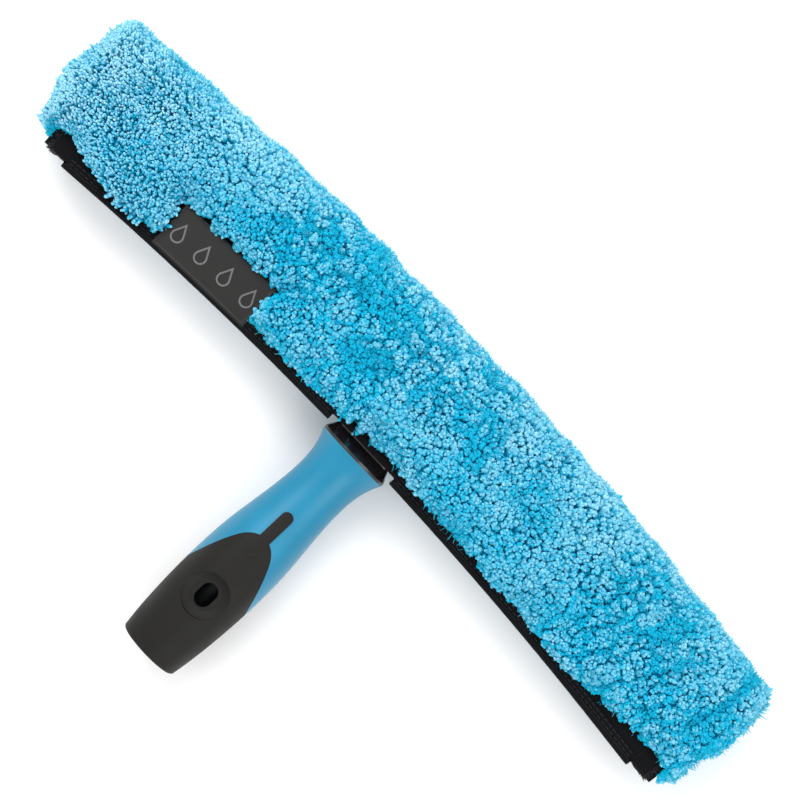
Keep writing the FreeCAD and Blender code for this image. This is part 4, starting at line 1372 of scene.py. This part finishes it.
def edge_way(roots):
    """The way over the nearest edge of the pile, for locks that hang over it."""
    beside = np.maximum(WINDOW[0] - roots.x, roots.x - WINDOW[1])
    by_window = (roots.z > 0) & (roots.d < WINDOW[2] + 8 * MM) & (beside < 8 * MM) & (roots.d > HEM_REACH)
    sideways = by_window & (beside > 0) & (roots.d < WINDOW[2])
    sign = np.where(roots.x < (WINDOW[0] + WINDOW[1]) / 2, 1.0, -1.0)
    return bowed_direction(roots.x, np.where(sideways, sign, 0.0), np.where(sideways, 0.0, -1.0), 0.0)


class WASHER_OT_pile_wisps(bpy.types.Operator):
    """Single fibres that stand out of the pile and soften its outline"""

    bl_idname = "washer.pile_wisps"
    bl_label = "Pile wisps"

    def execute(self, context):
        p = context.scene.pile
        rng = np.random.default_rng(p.seed + 100)
        roots, base, out, along, ahead = pile_roots(p.lock_spacing * 1.35, rng)
        number = len(base)
        rise = roots.reach + swell(base, p) * 0.8
        start = base + out * (rise - 2.5 * MM)[:, None]
        lean = rng.normal(0, 0.45, number)[:, None] * along + rng.normal(0, 0.45, number)[:, None] * ahead
        end = start + (out + lean) * (2.5 * MM + p.wisp_length * rng.uniform(0.1, 1.0, number))[:, None]
        end = end + edge_way(roots) * (near_edge(roots, 5 * MM) * 1.2 * MM)[:, None]
        ring = np.array([0.0, 0.4, 0.75, 1.0])
        side_way = unit(rng.normal(size=(number, 3)))
        centres = start[:, None] + (end - start)[:, None] * ring[None, :, None]
        bent = np.sin(math.pi * ring)[None] * rng.uniform(0.2, 0.9, (number, 1)) * MM
        centres = centres + side_way[:, None] * bent[..., None]
        radii = rng.uniform(0.14, 0.3, (number, 1)) * MM * np.array([1, 1, 0.75, 0])[None]
        centres[..., 2] = np.maximum(centres[..., 2], 0.4 * MM)
        # painted highlight: the height mark paints each wisp paler towards its end
        tall = np.broadcast_to(np.array([0.5, 0.6, 0.7, 0.8])[None], (number, 4))
        hang_locks("pile_wisps", centres, radii, 3, side_way, tall, rng.random(number), roots.x, p)
        return {"FINISHED"}


class WASHER_PT_sidebar(bpy.types.Panel):
    """Lists the washer's settings and pieces"""

    bl_idname = "WASHER_PT_sidebar"
    bl_label = "Window washer"
    bl_space_type = "VIEW_3D"
    bl_region_type = "UI"
    bl_category = "Washer"

    def draw(self, context):
        for group in SETTINGS:
            box = self.layout.box()
            for key in SETTINGS[group].__annotations__:
                box.prop(getattr(context.scene, group), key)
        for operator in OPERATORS:
            self.layout.operator(operator.bl_idname)


SETTINGS = {"pile": PileSettings, "cloth": ClothSettings, "handle": HandleSettings, "studio": StudioSettings}
OPERATORS = (
    WASHER_OT_stage,
    WASHER_OT_bar,
    WASHER_OT_handle,
    WASHER_OT_screw,
    WASHER_OT_sleeve_cloth,
    WASHER_OT_hems,
    WASHER_OT_corner_tabs,
    WASHER_OT_inner_panels,
    WASHER_OT_flaps,
    WASHER_OT_label,
    WASHER_OT_pile_ground,
    WASHER_OT_pile_locks,
    WASHER_OT_pile_wisps,
)


def register():
    for made in (*SETTINGS.values(), *OPERATORS, WASHER_PT_sidebar):
        bpy.utils.register_class(made)
    for name, group in SETTINGS.items():
        setattr(bpy.types.Scene, name, PointerProperty(type=group))


def unregister():
    for name in SETTINGS:
        delattr(bpy.types.Scene, name)
    for made in reversed((*SETTINGS.values(), *OPERATORS, WASHER_PT_sidebar)):
        bpy.utils.unregister_class(made)


def main():
    register()
    for operator in OPERATORS:
        group, name = operator.bl_idname.split(".")
        getattr(getattr(bpy.ops, group), name)()


if __name__ == "__main__":
    main()
